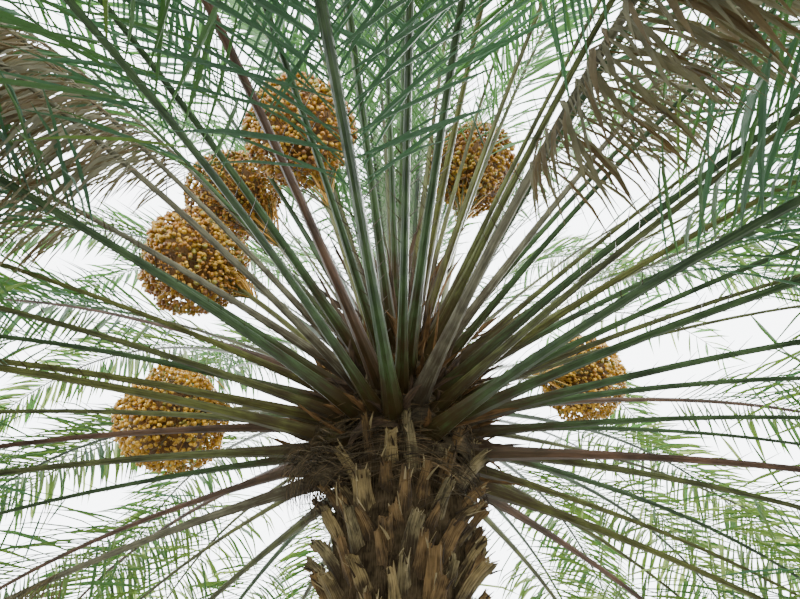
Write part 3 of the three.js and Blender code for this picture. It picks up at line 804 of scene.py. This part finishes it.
class PALM_OT_fibre(bpy.types.Operator):
    """Makes the loose sheath fibre and the dry bracts round the head"""

    bl_idname = "palm.fibre"
    bl_label = "Sheath fibre"

    def execute(self, context):
        pile = Pile()
        self.add_threads(pile, context.scene.palm_trunk.fibre_count)
        self.add_mat(pile)
        self.add_sheaths(pile)
        self.add_bracts(pile)
        self.add_flaps(pile)
        materials = [
            plant_finish(name, first, second, 0.05, grain, roughness, relief, shine=shine)
            for name, first, second, grain, roughness, relief, shine in (
                # Sheath fibre: tough threads, near black where damp.
                ("sheath thread, dark brown", "#25211a", "#4c4230", 0.002, 1.0, 0.0003, 0.1),
                # The same thread where it has dried foxy red.
                ("sheath thread, red-brown", "#3d3324", "#69563a", 0.002, 0.9, 0.0003, 0.2),
                # Dry bract: a papery woody strap, split along its grain.
                ("dry bract, orange-tan", "#33260f", "#6c5030", 0.003, 0.8, 0.001, 0.25),
                # The same strap where it is damp.
                ("dry bract, dark brown", "#282016", "#524130", 0.003, 0.8, 0.001, 0.25),
            )
        ]
        pile.to_object("sheath_fibre", materials, ["trunk"], smooth=False)
        return {"FINISHED"}

    def add_threads(self, pile, count):
        """Threads rise from the head and bend any way; some stand from the gaps lower on the column."""
        number = np.arange(count)
        low = chance(number, 71) < 0.38
        crown = CROWN_BASE + 0.5 * (chance(number, 72) - 0.12)
        height = np.where(low, 0.3 + 2.5 * chance(number, 72) ** 0.7, crown)
        azimuth = 360 * chance(number, 73)
        root = from_axis(azimuth, trunk_radius(height) - 0.004, height)
        rise = spread(number, 74, 1.6) + np.where(low, 0.9, 0.5)
        aside = sideways(azimuth) * spread(number, 75, 2.4)[:, None]
        heading = unit(from_axis(azimuth, 0.55, rise) + aside)
        bend = np.stack([spread(number, 76, 2.0), spread(number, 77, 2.0), spread(number, 78, 2.2) - 0.5], -1)
        length = np.where(low, 0.05, 0.07) + np.where(low, 0.09, 0.17) * chance(number, 79) ** 1.5
        radius = (0.0007 + 0.0011 * chance(number, 80) ** 2)[:, None] * np.linspace(1, 0.4, 5)
        finish = (chance(number, 81) < 0.45).astype(int)
        pile.grow(root, heading, length, bend, outward(azimuth), radius, finish)

    def add_mat(self, pile):
        """Threads that lie round the head like coarse cloth: they set off level, rise or fall a little, and
        bow with the trunk's own curve. Thicker tufts of them hang out on one side."""
        number = np.arange(MAT_THREADS)
        tuft = number < TUFT_THREADS
        azimuth = np.where(tuft, 200 + spread(number, 82, 44), 360 * chance(number, 82))
        height = CROWN_BASE + np.where(tuft, -0.10, -0.16) + np.where(tuft, 0.13, 0.34) * chance(number, 83)
        out = np.where(tuft, 0.03, 0.012) + np.where(tuft, 0.12, 0.045) * chance(number, 84)
        root = from_axis(azimuth, trunk_radius(height) + out, height)
        hand = np.where(chance(number, 85) < 0.5, 1.0, -1.0)[:, None]
        stand = np.where(tuft, 0.9, 0.1) * chance(number, 83)
        rise = spread(number, 86, 0.9) - np.where(tuft, 0.25, 0)
        heading = unit(sideways(azimuth) * hand + from_axis(azimuth, stand, rise))
        length = 0.08 + np.where(tuft, 0.10, 0.16) * chance(number, 87)
        bend = -outward(azimuth) * 0.9 - UP * 0.25
        radius = (0.0008 + 0.0014 * chance(number, 88) ** 2)[:, None] * np.linspace(1, 0.5, 6)
        finish = (chance(number, 89) < 0.25).astype(int)
        pile.grow(root, heading, length, bend, outward(azimuth), radius, finish)

    def add_sheaths(self, pile):
        """Mats of woven fibre that arch from stalk to stalk round the head, and some that hang off it in a
        lump: each follows the trunk's curve, highest at its middle, and its edges are torn at random."""
        rings, around = 14, 16
        number = np.arange(SHEATHS)[:, None]
        lump = number < LUMPS
        azimuth = np.where(lump, 200.0 + 9 * (number - 1), 285 + GOLDEN_ANGLE * number)
        low = CROWN_BASE + np.where(lump, -0.045 - 0.02 * number, -0.08 + 0.30 * number / SHEATHS)
        reach = np.where(lump, 13, 24 + 12 * chance(number, 45))
        t = np.linspace(-1, 1, rings)
        out = np.where(lump, 0.060 * (1 - t * t), 0.034 - 0.012 * t * t)
        height = low + np.where(lump, 0.0, 0.055) * (1 - t * t)
        centre = from_axis(azimuth + reach * t, trunk_radius(low) + out, height)
        along = unit(np.gradient(centre, axis=1))
        side, above = frames(along, outward(azimuth + reach * t))
        wide = np.where(lump, 0.070, 0.040 + 0.035 * chance(number, 46)) * (1 - 0.75 * t * t)
        deep = np.where(lump, 0.050, 0.010) * (1 - 0.6 * t * t)
        torn = 1 + spread(np.arange(SHEATHS * rings * around).reshape(SHEATHS, rings, around, 1), 47, 0.55)
        profile = circle(around) / 2 * np.stack([wide, deep], -1)[:, :, None] * torn
        finish = np.where(lump | (chance(number, 48) < 0.6), 0, 3)[:, 0]
        pile.sweep(centre, side, above, profile, finish=finish)

    def add_bracts(self, pile):
        """Old sheaths and bracts in the axils, which rise from the head and curl back."""
        number = np.arange(BRACTS)
        azimuth = GOLDEN_ANGLE * number + spread(number, 91, 40)
        height = CROWN_BASE + 0.02 + 0.54 * chance(number, 92) ** 0.8
        root = from_axis(azimuth, trunk_radius(height) - 0.015, height)
        pitch = np.radians(34 + 54 * chance(number, 93) ** 0.7)
        heading = from_axis(azimuth, np.cos(pitch), np.sin(pitch))
        bend = outward(azimuth + spread(number, 94, 200)) * 0.35
        length = 0.12 + 0.36 * chance(number, 95)
        self.add_blades(pile, number, root, heading, length, bend, -outward(azimuth + spread(number, 96, 70)))

    def add_flaps(self, pile):
        """Torn edges of the sheaths: a papery strap leans off each side of every stalk's foot."""
        fronds = [f for f in grown_fronds() if f.youth < 0.85]
        hand = np.tile([1.0, -1.0], len(fronds))[:, None]
        number = np.arange(len(hand)) + 500
        shares = (0.004 + 0.02 * chance(number, 99)).reshape(-1, 2)
        at = [path_at(frond.path, pair) for frond, pair in zip(fronds, shares)]
        place, along, side, above = (np.concatenate(grids) for grids in zip(*at))
        half = np.concatenate([rib_width(frond, pair) for frond, pair in zip(fronds, shares)])[:, None] * 0.46
        lean = side * hand * (0.15 + 0.35 * chance(number, 90))[:, None]
        lean = lean + above * spread(number, 89, 0.3)[:, None]
        length = 0.06 + 0.15 * chance(number, 95) ** 1.5
        hint = above + side * spread(number, 96, 1.6)[:, None]
        root = place + side * hand * half
        self.add_blades(pile, number, root, unit(along + lean), length, lean * 1.2, hint)

    def add_blades(self, pile, number, root, heading, length, bend, hint):
        """Straps a tenth as thick as wide, curled across like a gutter, that taper to a torn point."""
        places, along = lines_from(root, heading, length, BLADE_RINGS, bend)
        side, above = frames(along, hint[:, None])
        share = np.linspace(0, 1, BLADE_RINGS)
        width = (0.016 + 0.030 * chance(number, 97) ** 2)[:, None] * (1 - share**1.5) + 0.002
        width = width * (1 + spread(number[:, None] * BLADE_RINGS + np.arange(BLADE_RINGS), 49, 0.7))
        x = np.array([0.5, 0.2, -0.2, -0.5, -0.2, 0.2])
        curl = 0.30 * (4 * x * x) + np.array([0, 1, 1, 0, -1, -1]) * 0.05
        profile = width[..., None, None] * np.stack([x, curl], -1)
        pile.sweep(places, side, above, profile, finish=np.where(chance(number, 98) < 0.4, 2, 3))


def rib_stations(length):
    """Shares of the rib: close together where it clasps the trunk, then wider apart."""
    near = np.linspace(0, 1, 10) ** 1.5 * 0.16
    far = np.linspace(0.16, 0.995, 21)[1:]
    return np.concatenate([[-ROOT_DEPTH / length], near, far])


class PALM_OT_ribs(bpy.types.Operator):
    """Makes the leaf stalks and ribs of the fronds, with their spines"""

    bl_idname = "palm.ribs"
    bl_label = "Ribs"

    def execute(self, context):
        sizes = context.scene.palm_fronds
        green, red, straw = (np.array(c) for c in (sizes.stalk_green, sizes.stalk_red, sizes.straw))
        sheath = (linear("#352a16"), 0.08, 0.62)
        # Leaf stalk: hard and smooth under a grey bloom of wax, so it shines along its edges. The wax stops
        # at the brown sheath of its base.
        living = [
            plant_finish("leaf stalk, " + kind, *look, 0.0005, foot=sheath, shine=shine)
            for kind, shine, *look in (
                ("waxy green", 0.2, green * 0.4, green * 1.5, 0.10, 0.004, 0.32),
                ("blue-green", 0.2, green * [0.26, 0.46, 0.52], green * [0.8, 1.25, 1.35], 0.10, 0.004, 0.32),
                ("olive", 0.2, green * [0.6, 0.55, 0.45], green * [1.65, 1.6, 1.2], 0.10, 0.004, 0.34),
                ("sun-browned", 0.3, red * 0.45, red * 1.5, 0.12, 0.004, 0.4),
            )
        ]
        # Dead stalk: the wax has gone, and it is dull, grey and checked along its grain.
        dead = [
            plant_finish("dead stalk, grey straw", straw * 0.4, straw, 0.06, 0.004, 0.85, 0.001, foot=sheath)
        ]
        self.add_ribs("ribs_green", [f for f in grown_fronds() if not f.dry], living, "frond_green")
        self.add_ribs("ribs_dry", [f for f in grown_fronds() if f.dry], dead, "frond_dry")
        return {"FINISHED"}

    def add_ribs(self, name, fronds, materials, slot):
        """Carries the stalk's section along each rib, and sets spines on its edges."""
        pile = Pile()
        shape = rib_profile(6)
        for frond in fronds:
            s = rib_stations(frond.length)
            at = path_at(frond.path, s)
            place = at.place + at.along * np.minimum(0, s * frond.length)[:, None]
            metres = np.maximum(s, 0) * frond.length
            width = rib_width(frond, s) * (0.84 + 0.16 * np.exp(-metres / 0.18))
            width = width + 0.026 * frond.stout * np.exp(-metres / 0.35) * (1 - np.exp(-metres / 0.12))
            profile = shape * np.stack([width, width * RIB_DEPTH], -1)[:, None]
            tip = path_at(frond.path, [1.0]).place
            finish = 0 if frond.dry else self.finish_of(frond)
            grids = (grid[None] for grid in (place, at.side, at.above, profile))
            pile.sweep(*grids, end=tip, finish=finish)
            self.add_spines(pile, frond, finish)
        pile.to_object(name, materials, sorted({f.node for f in fronds}), smooth=False)

    def finish_of(self, frond):
        """The number of a living stalk's finish: one of three greens, or the last for a red one."""
        return 3 if frond.n in RED_STALKS else int(np.searchsorted([0.33, 0.76], chance(frond.n, 101)))

    def add_spines(self, pile, frond, finish):
        """Spines along the stalk's edges, longer towards the leaflets: thin cones of three sides."""
        number = np.arange(SPINES)
        hand = np.where(number % 2, 1.0, -1.0)
        jitter = chance(number + 40 * frond.n, 111)
        s = 0.11 + (leafless_share(frond) - 0.115) * (number + jitter) / SPINES
        at = path_at(frond.path, s)
        width = rib_width(frond, s)
        root = at.place + at.side * (hand * width * 0.46)[:, None] + at.above * (width * 0.13)[:, None]
        length = 0.012 + 0.060 * ((s - 0.05) / 0.22) ** 2
        heading = unit(at.along * 1.1 + at.side * hand[:, None] + at.above * 0.35)
        radius = np.array([1.0, 0.8, 0.3]) * (0.0010 + 0.011 * length)[:, None]
        pile.grow(root, heading, length, np.zeros_like(heading), at.above, radius, finish)


def leafless_share(frond):
    """The stalk's share of a frond: the innermost leaves are bare for less of their length."""
    return PETIOLE_SHARE * (1 - 1.7 * max(0, frond.youth - 0.75))


def leaflet_table(frond, per_side, width):
    """Roots, headings and sizes of a frond's leaflets, by the rule of the crown: they stand at three angles
    in turn, lean forward more towards the tip, and are longest a third of the way along the blade."""
    step = np.tile(np.arange(per_side), 2)
    hand = np.repeat([1.0, -1.0], per_side)
    number = step + per_side * (hand > 0) + 1000 * frond.n
    first = leafless_share(frond)
    s = first + (0.99 - first) * (step + 0.5 + spread(number, 121, 0.5)) / per_side
    at = path_at(frond.path, s)
    share = (s - first) / (1 - first)
    lifts = np.array(LIFTS["dry" if frond.dry else "green"])
    wild = 2.4 if frond.dry else 1
    lift = np.radians(lifts[(step + (hand > 0)) % 3] + spread(number, 122, 22 * wild))
    forward = np.radians(50 - 20 * share - 12 * frond.youth + spread(number, 123, 13 * wild))
    across = at.side * (hand * np.cos(lift))[:, None] + at.above * np.sin(lift)[:, None]
    heading = at.along * np.cos(forward)[:, None] + across * np.sin(forward)[:, None]
    profile = 0.62 + 1.5 * share - 2.5 * share**2 + 0.86 * share**3
    length = LEAFLET_LENGTH * profile * (1 - 0.3 * frond.youth ** 2) * (0.9 + 0.25 * chance(number, 124))
    stalk = rib_width(frond, s)
    root = at.place + at.side * (hand * stalk * 0.40)[:, None] + at.above * (stalk * 0.08)[:, None]
    upper = at.above * np.cos(lift)[:, None] - at.side * (hand * np.sin(lift))[:, None]
    tilt = spread(number, 125, 2.6 if frond.dry else 1.1)[:, None]
    hint = upper + np.cross(heading, upper) * tilt
    wide = width * (0.62 + 0.75 * chance(number, 126) ** 1.3) * np.minimum(1, 0.5 + 2.2 * share)
    return SimpleNamespace(root=root, heading=heading, length=length, hint=hint, wide=wide, number=number)


def add_leaflets(pile, frond, table, droop, finish):
    """Folded blades: each is a V that opens upwards, widest at a third of its length, and runs out to a
    point. It droops by its own weight, and a dead one hangs from its root. One that would run through a bunch
    of dates is left out."""
    outline = np.array([0.35, 1.0, 0.88, 0.0])
    steps = len(outline)
    weight = droop * (0.4 + 1.2 * chance(table.number, 131))
    bend = -UP * weight[:, None] + unit(frond.path.along.mean(0)) * 0.18
    heading = unit(table.heading - UP * (0.8 if frond.dry else 0))
    places, along = lines_from(table.root, heading, table.length, steps, bend)
    centres = np.array([bunch_centre(b) for b in BUNCHES])
    radii = np.array([b.diameter * 0.5 for b in BUNCHES])
    clear = (np.linalg.norm(places[:, :, None] - centres, axis=-1) > radii).all((1, 2))
    side, above = frames(along, table.hint[:, None])
    fold = np.radians(np.array([52, 30, 20, 14]))
    half = table.wide[:, None] / 2 * outline
    x = np.stack([half * np.cos(fold), -half * np.cos(fold), 0 * half], -1)
    y = np.stack([half * np.sin(fold), half * np.sin(fold), 0 * half - 0.0009], -1)
    rings = [grid[clear, : steps - 1] for grid in (places, side, above, np.stack([x, y], -1))]
    pile.sweep(*rings, end=places[clear, -1], finish=finish[clear])


class PALM_OT_leaflets(bpy.types.Operator):
    """Makes the leaflets of the fronds, the living and the dead"""

    bl_idname = "palm.leaflets"
    bl_label = "Leaflets"

    def execute(self, context):
        sizes = context.scene.palm_fronds
        green = leaflet_finishes(sizes)
        living = [f for f in grown_fronds() if not f.dry]
        share = math.ceil(len(living) / 4)
        for i, name in enumerate(("leaflets_lowest", "leaflets_lower", "leaflets_upper", "leaflets_top")):
            group = living[i * share : (i + 1) * share]
            pile = Pile()
            for frond in group:
                count = int(sizes.leaflets * frond.leaflets * (1 - 0.30 * frond.youth ** 2))
                table = leaflet_table(frond, count, sizes.leaflet_width)
                add_leaflets(pile, frond, table, 0.45, self.finish_of(frond, table.number))
            pile.to_object(name, green, sorted({f.node for f in group}), smooth=False)
        straw = np.array(sizes.straw)
        browner = straw * [0.5, 0.42, 0.34], straw * [1.1, 0.92, 0.72]
        # Dead leaflet: papery and dull, bleached grey on one, browner on the next.
        dead = [
            plant_finish(name, first, second, patch, grain, 0.85, 0.0005, linear(through))
            for name, first, second, patch, grain, through in (
                ("dead leaflet, grey straw", straw * 0.5, straw * 1.3, 0.06, 0.002, "#a39d7c"),
                ("dead leaflet, brown", *browner, 0.10, 0.003, "#8f7a52"),
            )
        ]
        pile = Pile()
        dry = [f for f in grown_fronds() if f.dry]
        for frond in dry:
            table = leaflet_table(frond, int(sizes.leaflets * 2.3), sizes.leaflet_width * 0.85)
            add_leaflets(pile, frond, table, 3.0, (chance(table.number, 143) < 0.3).astype(int))
        pile.to_object("leaflets_dry", dead, [f.node for f in dry], smooth=False)
        return {"FINISHED"}

    def finish_of(self, frond, number):
        """The numbers of the living leaflets' finishes: painted light and shade make them a step paler on the
        sunny side, towards +Y, and darker on the far side, and in the middle of the crown they are fresh, and
        painted paler too."""
        # Painted light and shade: a frond on the sunny side, towards +Y, takes paler leaflet tones, and one
        # on the far side darker ones.
        sunny = math.sin(math.radians(frond.azimuth + 10))
        tone = 1.1 + spread(frond.n, 141, 1.2) + 1.0 * sunny
        finish = np.clip(np.round(tone + spread(number, 142, 1.9)), 0, 3).astype(int)
        # Young leaflets take the fresh green. It is their real fresher colour, and it is also painted
        # lighter, as light in the middle of the crown.
        return np.where(chance(number, 144) < 2.5 * (frond.youth - 0.5), 4, finish)


class PALM_OT_spears(bpy.types.Operator):
    """Makes the unopened leaves that stand on the growing point"""

    bl_idname = "palm.spears"
    bl_label = "Spears"

    def execute(self, context):
        k = np.arange(SPEARS)
        lean = np.radians(np.where(k, 2.2 + 0.8 * k, 0.0))
        azimuth = k * GOLDEN_ANGLE
        along = from_axis(azimuth, np.sin(lean), np.cos(lean))
        length = SPEAR_LENGTH * (1 - 0.07 * k)[:, None]
        rings, around, ridges = 24, 24, 8
        share = np.linspace(0, 0.97, rings)
        foot = UP * (CROWN_BASE + HEAD_HEIGHT * 0.9)
        centre = foot + along[:, None] * (length * share)[..., None]
        side, above = frames(along, outward(azimuth))
        # Pleats of the folded leaflets: ridges that wind slowly round the spear.
        turn = np.arange(around) * 2 * np.pi / around
        pleats = 1 + 0.16 * np.cos(ridges * turn + 9 * share[:, None] + k[:, None, None])
        half = (SPEAR_WIDTH / 2) * (1 - 0.75 * share**2)
        profile = (half[:, None] * pleats)[..., None] * circle(around) * [1, 0.8]
        pile = Pile()
        pile.sweep(centre, side[:, None], above[:, None], profile, end=foot + along * length)
        # Unopened leaf: pale, soft and downy, with the pleats packed close.
        pale = plant_finish("unopened leaf, pale green", "#6f8560", "#a3b48a", 0.12, 0.003, 0.6, 0.0004)
        pile.to_object("spears", [pale], ["young_leaves"])
        return {"FINISHED"}


class PALM_OT_stalks(bpy.types.Operator):
    """Makes the fruit stalks and their strands"""

    bl_idname = "palm.stalks"
    bl_label = "Fruit stalks"

    def execute(self, context):
        sizes = context.scene.palm_fruit
        pile = Pile()
        for i, bunch in enumerate(BUNCHES):
            self.add_stalk(pile, bunch)
            self.add_strands(pile, bunch, i)
        stalk = np.array(sizes.stalk)
        materials = [
            # Fruit stalk: a flat smooth strap, waxy and golden.
            plant_finish("fruit stalk, golden", stalk * 0.7, stalk * 1.25, 0.08, 0.003, 0.45, 0.0006),
            # Strand: the same skin, thinner and more orange where it carries fruit.
            plant_finish("fruit strand, orange", "#a0742a", "#d0a046", 0.04, 0.002, 0.5, 0.0003),
            # Packed strands inside a bunch: painted shade, darker than the strands outside, for the shade
            # between the dates.
            plant_finish("fruit strands, core in painted shade", "#3c290f", "#74501c", 0.03, 0.004, 0.8, 0.002),
        ]
        pile.to_object("fruit_stalks", materials, bunch_nodes())
        return {"FINISHED"}

    def add_stalk(self, pile, bunch):
        """The flat stalk: its rings are ovals that narrow towards the dates. A rough ball of packed strands,
        painted dark as shade, closes the middle of the bunch."""
        t = np.linspace(0, 0.93, 26)
        centre = stalk_points(bunch, t)[None]
        side, above = frames(unit(np.gradient(centre, axis=1)), UP)
        width = STALK_WIDTH / 2 * (1 - 0.45 * t)
        pile.sweep(centre, side, above, strand_profile(width, 12)[None] * [1, 0.5])
        rings, around = 14, 18
        polar = np.linspace(0.12, np.pi - 0.12, rings)
        ball = bunch.diameter / 2 * CORE_SHARE
        number = np.arange(rings * around).reshape(rings, around)
        rough = ball * np.sin(polar)[:, None] * (1 + spread(number, 151, 0.12))
        centre = (bunch_centre(bunch) - UP * (ball * np.cos(polar))[:, None])[None]
        # Finish 2 is the core's painted shade.
        pile.sweep(centre, [1, 0, 0], [0, 1, 0], (rough[..., None] * circle(around))[None], finish=2)

    def add_strands(self, pile, bunch, i):
        """Strands leave the stalk before the dates and spread to the surface of the mass, and a few tips
        stand out below it."""
        count = int(STRANDS / bunch.scale**3.5)
        number = np.arange(count) + 300 * i
        goal = unit(scatter_on_ball(count, i) - UP * 0.15)
        radius = bunch.diameter / 2 * (0.92 + 0.20 * chance(number, 161) ** 2)
        end = bunch_centre(bunch) + goal * radius[:, None]
        start = stalk_points(bunch, 0.60 + 0.30 * chance(number, 162))
        middle = (start + end) / 2 + UP * (0.03 + 0.05 * chance(number, 163))[:, None]
        thick = np.linspace(0.0032, 0.0014, 7) * np.ones((count, 1))
        centre = bow(start, middle, end, np.linspace(0, 1, thick.shape[1]))
        side, above = frames(unit(np.gradient(centre, axis=1)), [0.3, 0.5, 0.8])
        finish = (chance(number, 164) < 0.6).astype(int)
        pile.sweep(centre, side, above, strand_profile(thick, 4), finish=finish)


class PALM_OT_dates(bpy.types.Operator):
    """Makes the dates of every bunch"""

    bl_idname = "palm.dates"
    bl_label = "Dates"

    def execute(self, context):
        sizes = context.scene.palm_fruit
        # Date on the turn: taut smooth skin with a dusty bloom, so each has a soft highlight.
        materials = [
            plant_finish(name, np.array(colour) * 0.6, np.array(colour) * 1.15, 0.02, 0.006, 0.40, 0.0002)
            for name, colour in (
                ("date, golden", sizes.golden),
                ("date, amber", sizes.amber),
                ("date, greenish", sizes.greenish),
                ("date, brown", sizes.brown),
                # The pale golden finish is painted sunlight, for the bunches that hang in the sun.
                ("date, pale golden, painted sunlight", sizes.pale),
            )
        ]
        far = range(NEAR_BUNCHES, len(BUNCHES))
        for name, chosen in (("dates_near", range(NEAR_BUNCHES)), ("dates_far", far)):
            pile = Pile()
            for i in chosen:
                self.add_dates(pile, BUNCHES[i], i, sizes)
            pile.to_object(name, materials, [bunch_nodes()[i] for i in chosen])
        return {"FINISHED"}

    def add_dates(self, pile, bunch, i, sizes):
        """Dates lie in two shells about the middle of the bunch, raised into clusters round the strands'
        ends. Each is a long ball of twenty faces that points outwards, and some below stay small."""
        outer, inner = (int(sizes.dates * share / bunch.scale**1.5) for share in (0.8, 0.2))
        number = np.arange(outer + inner) + 2000 * i
        jitter = np.stack([spread(number, feature, 0.13) for feature in (171, 172, 173)], -1)
        goal = unit(np.concatenate([scatter_on_ball(outer, i), scatter_on_ball(inner, i + 2)]) + jitter)
        lobe = np.arange(LOBES)
        lobes = scatter_on_ball(LOBES, 1.3 * i) * (0.90 + 0.16 * chance(lobe + 30 * i, 182))[:, None]
        cluster = np.clip(((goal @ lobes.T).max(1) - 0.82) / 0.16, 0, 1)
        shell = np.where(np.arange(outer + inner) < outer, 0.80, 0.73)
        reach = bunch.diameter / 2 * (shell + 0.25 * cluster + spread(number, 174, 0.07))
        place = bunch_centre(bunch) + goal * reach[:, None] * [1, 1, 1.04]
        small = chance(np.floor(goal @ [3.1, 4.7, 2.3]) + i, 175) + 0.3 * (goal[:, 2] < -0.45) > 0.78
        length = sizes.date_length * bunch.scale * (0.86 + 0.28 * chance(number, 176))
        length = length * np.where(small, 0.66, 1)
        half = length[:, None] / 2
        turned = np.stack([spread(number, feature, 1.5) for feature in (177, 178, 179)], -1)
        axis = unit(goal + turned)
        side, above = frames(axis, [0.31, 0.52, 0.79])
        centre = place[:, None] + axis[:, None] * (half * [-0.42, 0.46])[..., None]
        radius = (0.37 * length)[:, None] * [1.0, 0.94]
        finish = self.finish_of(bunch, i, number, goal, small)
        ends = {"start": place - axis * half, "end": place + axis * half}
        pile.sweep(centre, side[:, None], above[:, None], strand_profile(radius, 5), finish=finish, **ends)

    def finish_of(self, bunch, i, number, goal, small):
        """The numbers of the dates' finishes: they ripen in clusters, the small ones are never golden, and
        those of a bunch in the sun are each a step paler, as painted sunlight."""
        patch = np.floor(goal @ [2.2, 1.9, 3.3] + 0.5) + 3 * i
        pick = chance(number, 180) + 0.35 * (chance(patch, 181) - 0.5)
        greener = 0.16 if bunch.scale < 0.8 else 0.07
        finish = np.select([pick < greener, pick < 0.62, pick < 0.97], [2, 0, 1], 3)
        finish = np.where(small & (finish == 0), 1, finish)
        # Painted sunlight: each finish of a bunch in the sun steps to a paler one.
        return np.choose(finish, [4, 0, 2, 1]) if bunch.distance > PAINTED_SUN_FROM else finish


class PALM_OT_stage(bpy.types.Operator):
    """Makes the floor, the light and the camera"""

    bl_idname = "palm.stage"
    bl_label = "Stage"

    def execute(self, context):
        sizes = context.scene.palm_stage
        half = sizes.floor_size / 2
        mesh = bpy.data.meshes.new("floor")
        corners = [(-half, -half, 0), (half, -half, 0), (half, half, 0), (-half, half, 0)]
        mesh.from_pydata(corners, [], [range(4)])
        floor = add_object("floor", mesh)
        # Studio floor: pale matt paint with a barely seen mottle.
        paint = plant_finish("studio floor, pale matt paint", "#6a6865", "#74726e", 0.8, 0.05, 0.9, 0.0)
        mesh.materials.append(paint)
        world = bpy.data.worlds.new("studio sky")
        world.use_nodes = True
        sky = world.node_tree.nodes["Background"]
        sky.inputs["Color"].default_value = SKY_COLOUR
        sky.inputs["Strength"].default_value = SKY_STRENGTH
        context.scene.world = world
        for light in LIGHTS:
            self.add_light(*light)
        lens = bpy.data.cameras.new("camera")
        lens.lens = 35
        lens.sensor_width = 36
        lens.clip_end = 200
        camera = add_object("camera", lens)
        camera.location = sizes.eye
        camera.rotation_euler = (math.radians(90) + sizes.lift, 0, 0)
        context.scene.camera = camera
        return {"FINISHED"}

    def add_light(self, name, power, size, place, aim):
        """A square soft light that looks at a point: it turns so that its -Z points there."""
        light = bpy.data.lights.new(name, "AREA")
        light.energy = power
        light.size = size
        made = add_object(name, light)
        made.location = place
        along = np.array(aim) - place
        level = math.hypot(along[0], along[1])
        made.rotation_euler = (math.atan2(level, -along[2]), 0, math.atan2(-along[0], along[1]))


PIECES = (
    PALM_OT_column,
    PALM_OT_bases,
    PALM_OT_fibre,
    PALM_OT_ribs,
    PALM_OT_leaflets,
    PALM_OT_spears,
    PALM_OT_stalks,
    PALM_OT_dates,
    PALM_OT_stage,
)
GROUPS = {
    "palm_trunk": PalmTrunk,
    "palm_fronds": PalmFronds,
    "palm_fruit": PalmFruit,
    "palm_stage": PalmStage,
}


class PALM_PT_panel(bpy.types.Panel):
    """Lists the pieces of the palm and their sizes"""

    bl_idname = "PALM_PT_panel"
    bl_label = "Date palm"
    bl_space_type = "VIEW_3D"
    bl_region_type = "UI"
    bl_category = "Date palm"

    def draw(self, context):
        for group in GROUPS:
            box = self.layout.box()
            for key in GROUPS[group].__annotations__:
                box.prop(getattr(context.scene, group), key)
        for piece in PIECES:
            self.layout.operator(piece.bl_idname)


def register():
    for made in (*GROUPS.values(), *PIECES, PALM_PT_panel):
        bpy.utils.register_class(made)
    for name, group in GROUPS.items():
        setattr(bpy.types.Scene, name, bpy.props.PointerProperty(type=group))


def unregister():
    for name in GROUPS:
        delattr(bpy.types.Scene, name)
    for made in reversed((*GROUPS.values(), *PIECES, PALM_PT_panel)):
        bpy.utils.unregister_class(made)


def main():
    """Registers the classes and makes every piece."""
    register()
    for piece in PIECES:
        family, name = piece.bl_idname.split(".")
        getattr(getattr(bpy.ops, family), name)()


if __name__ == "__main__":
    main()
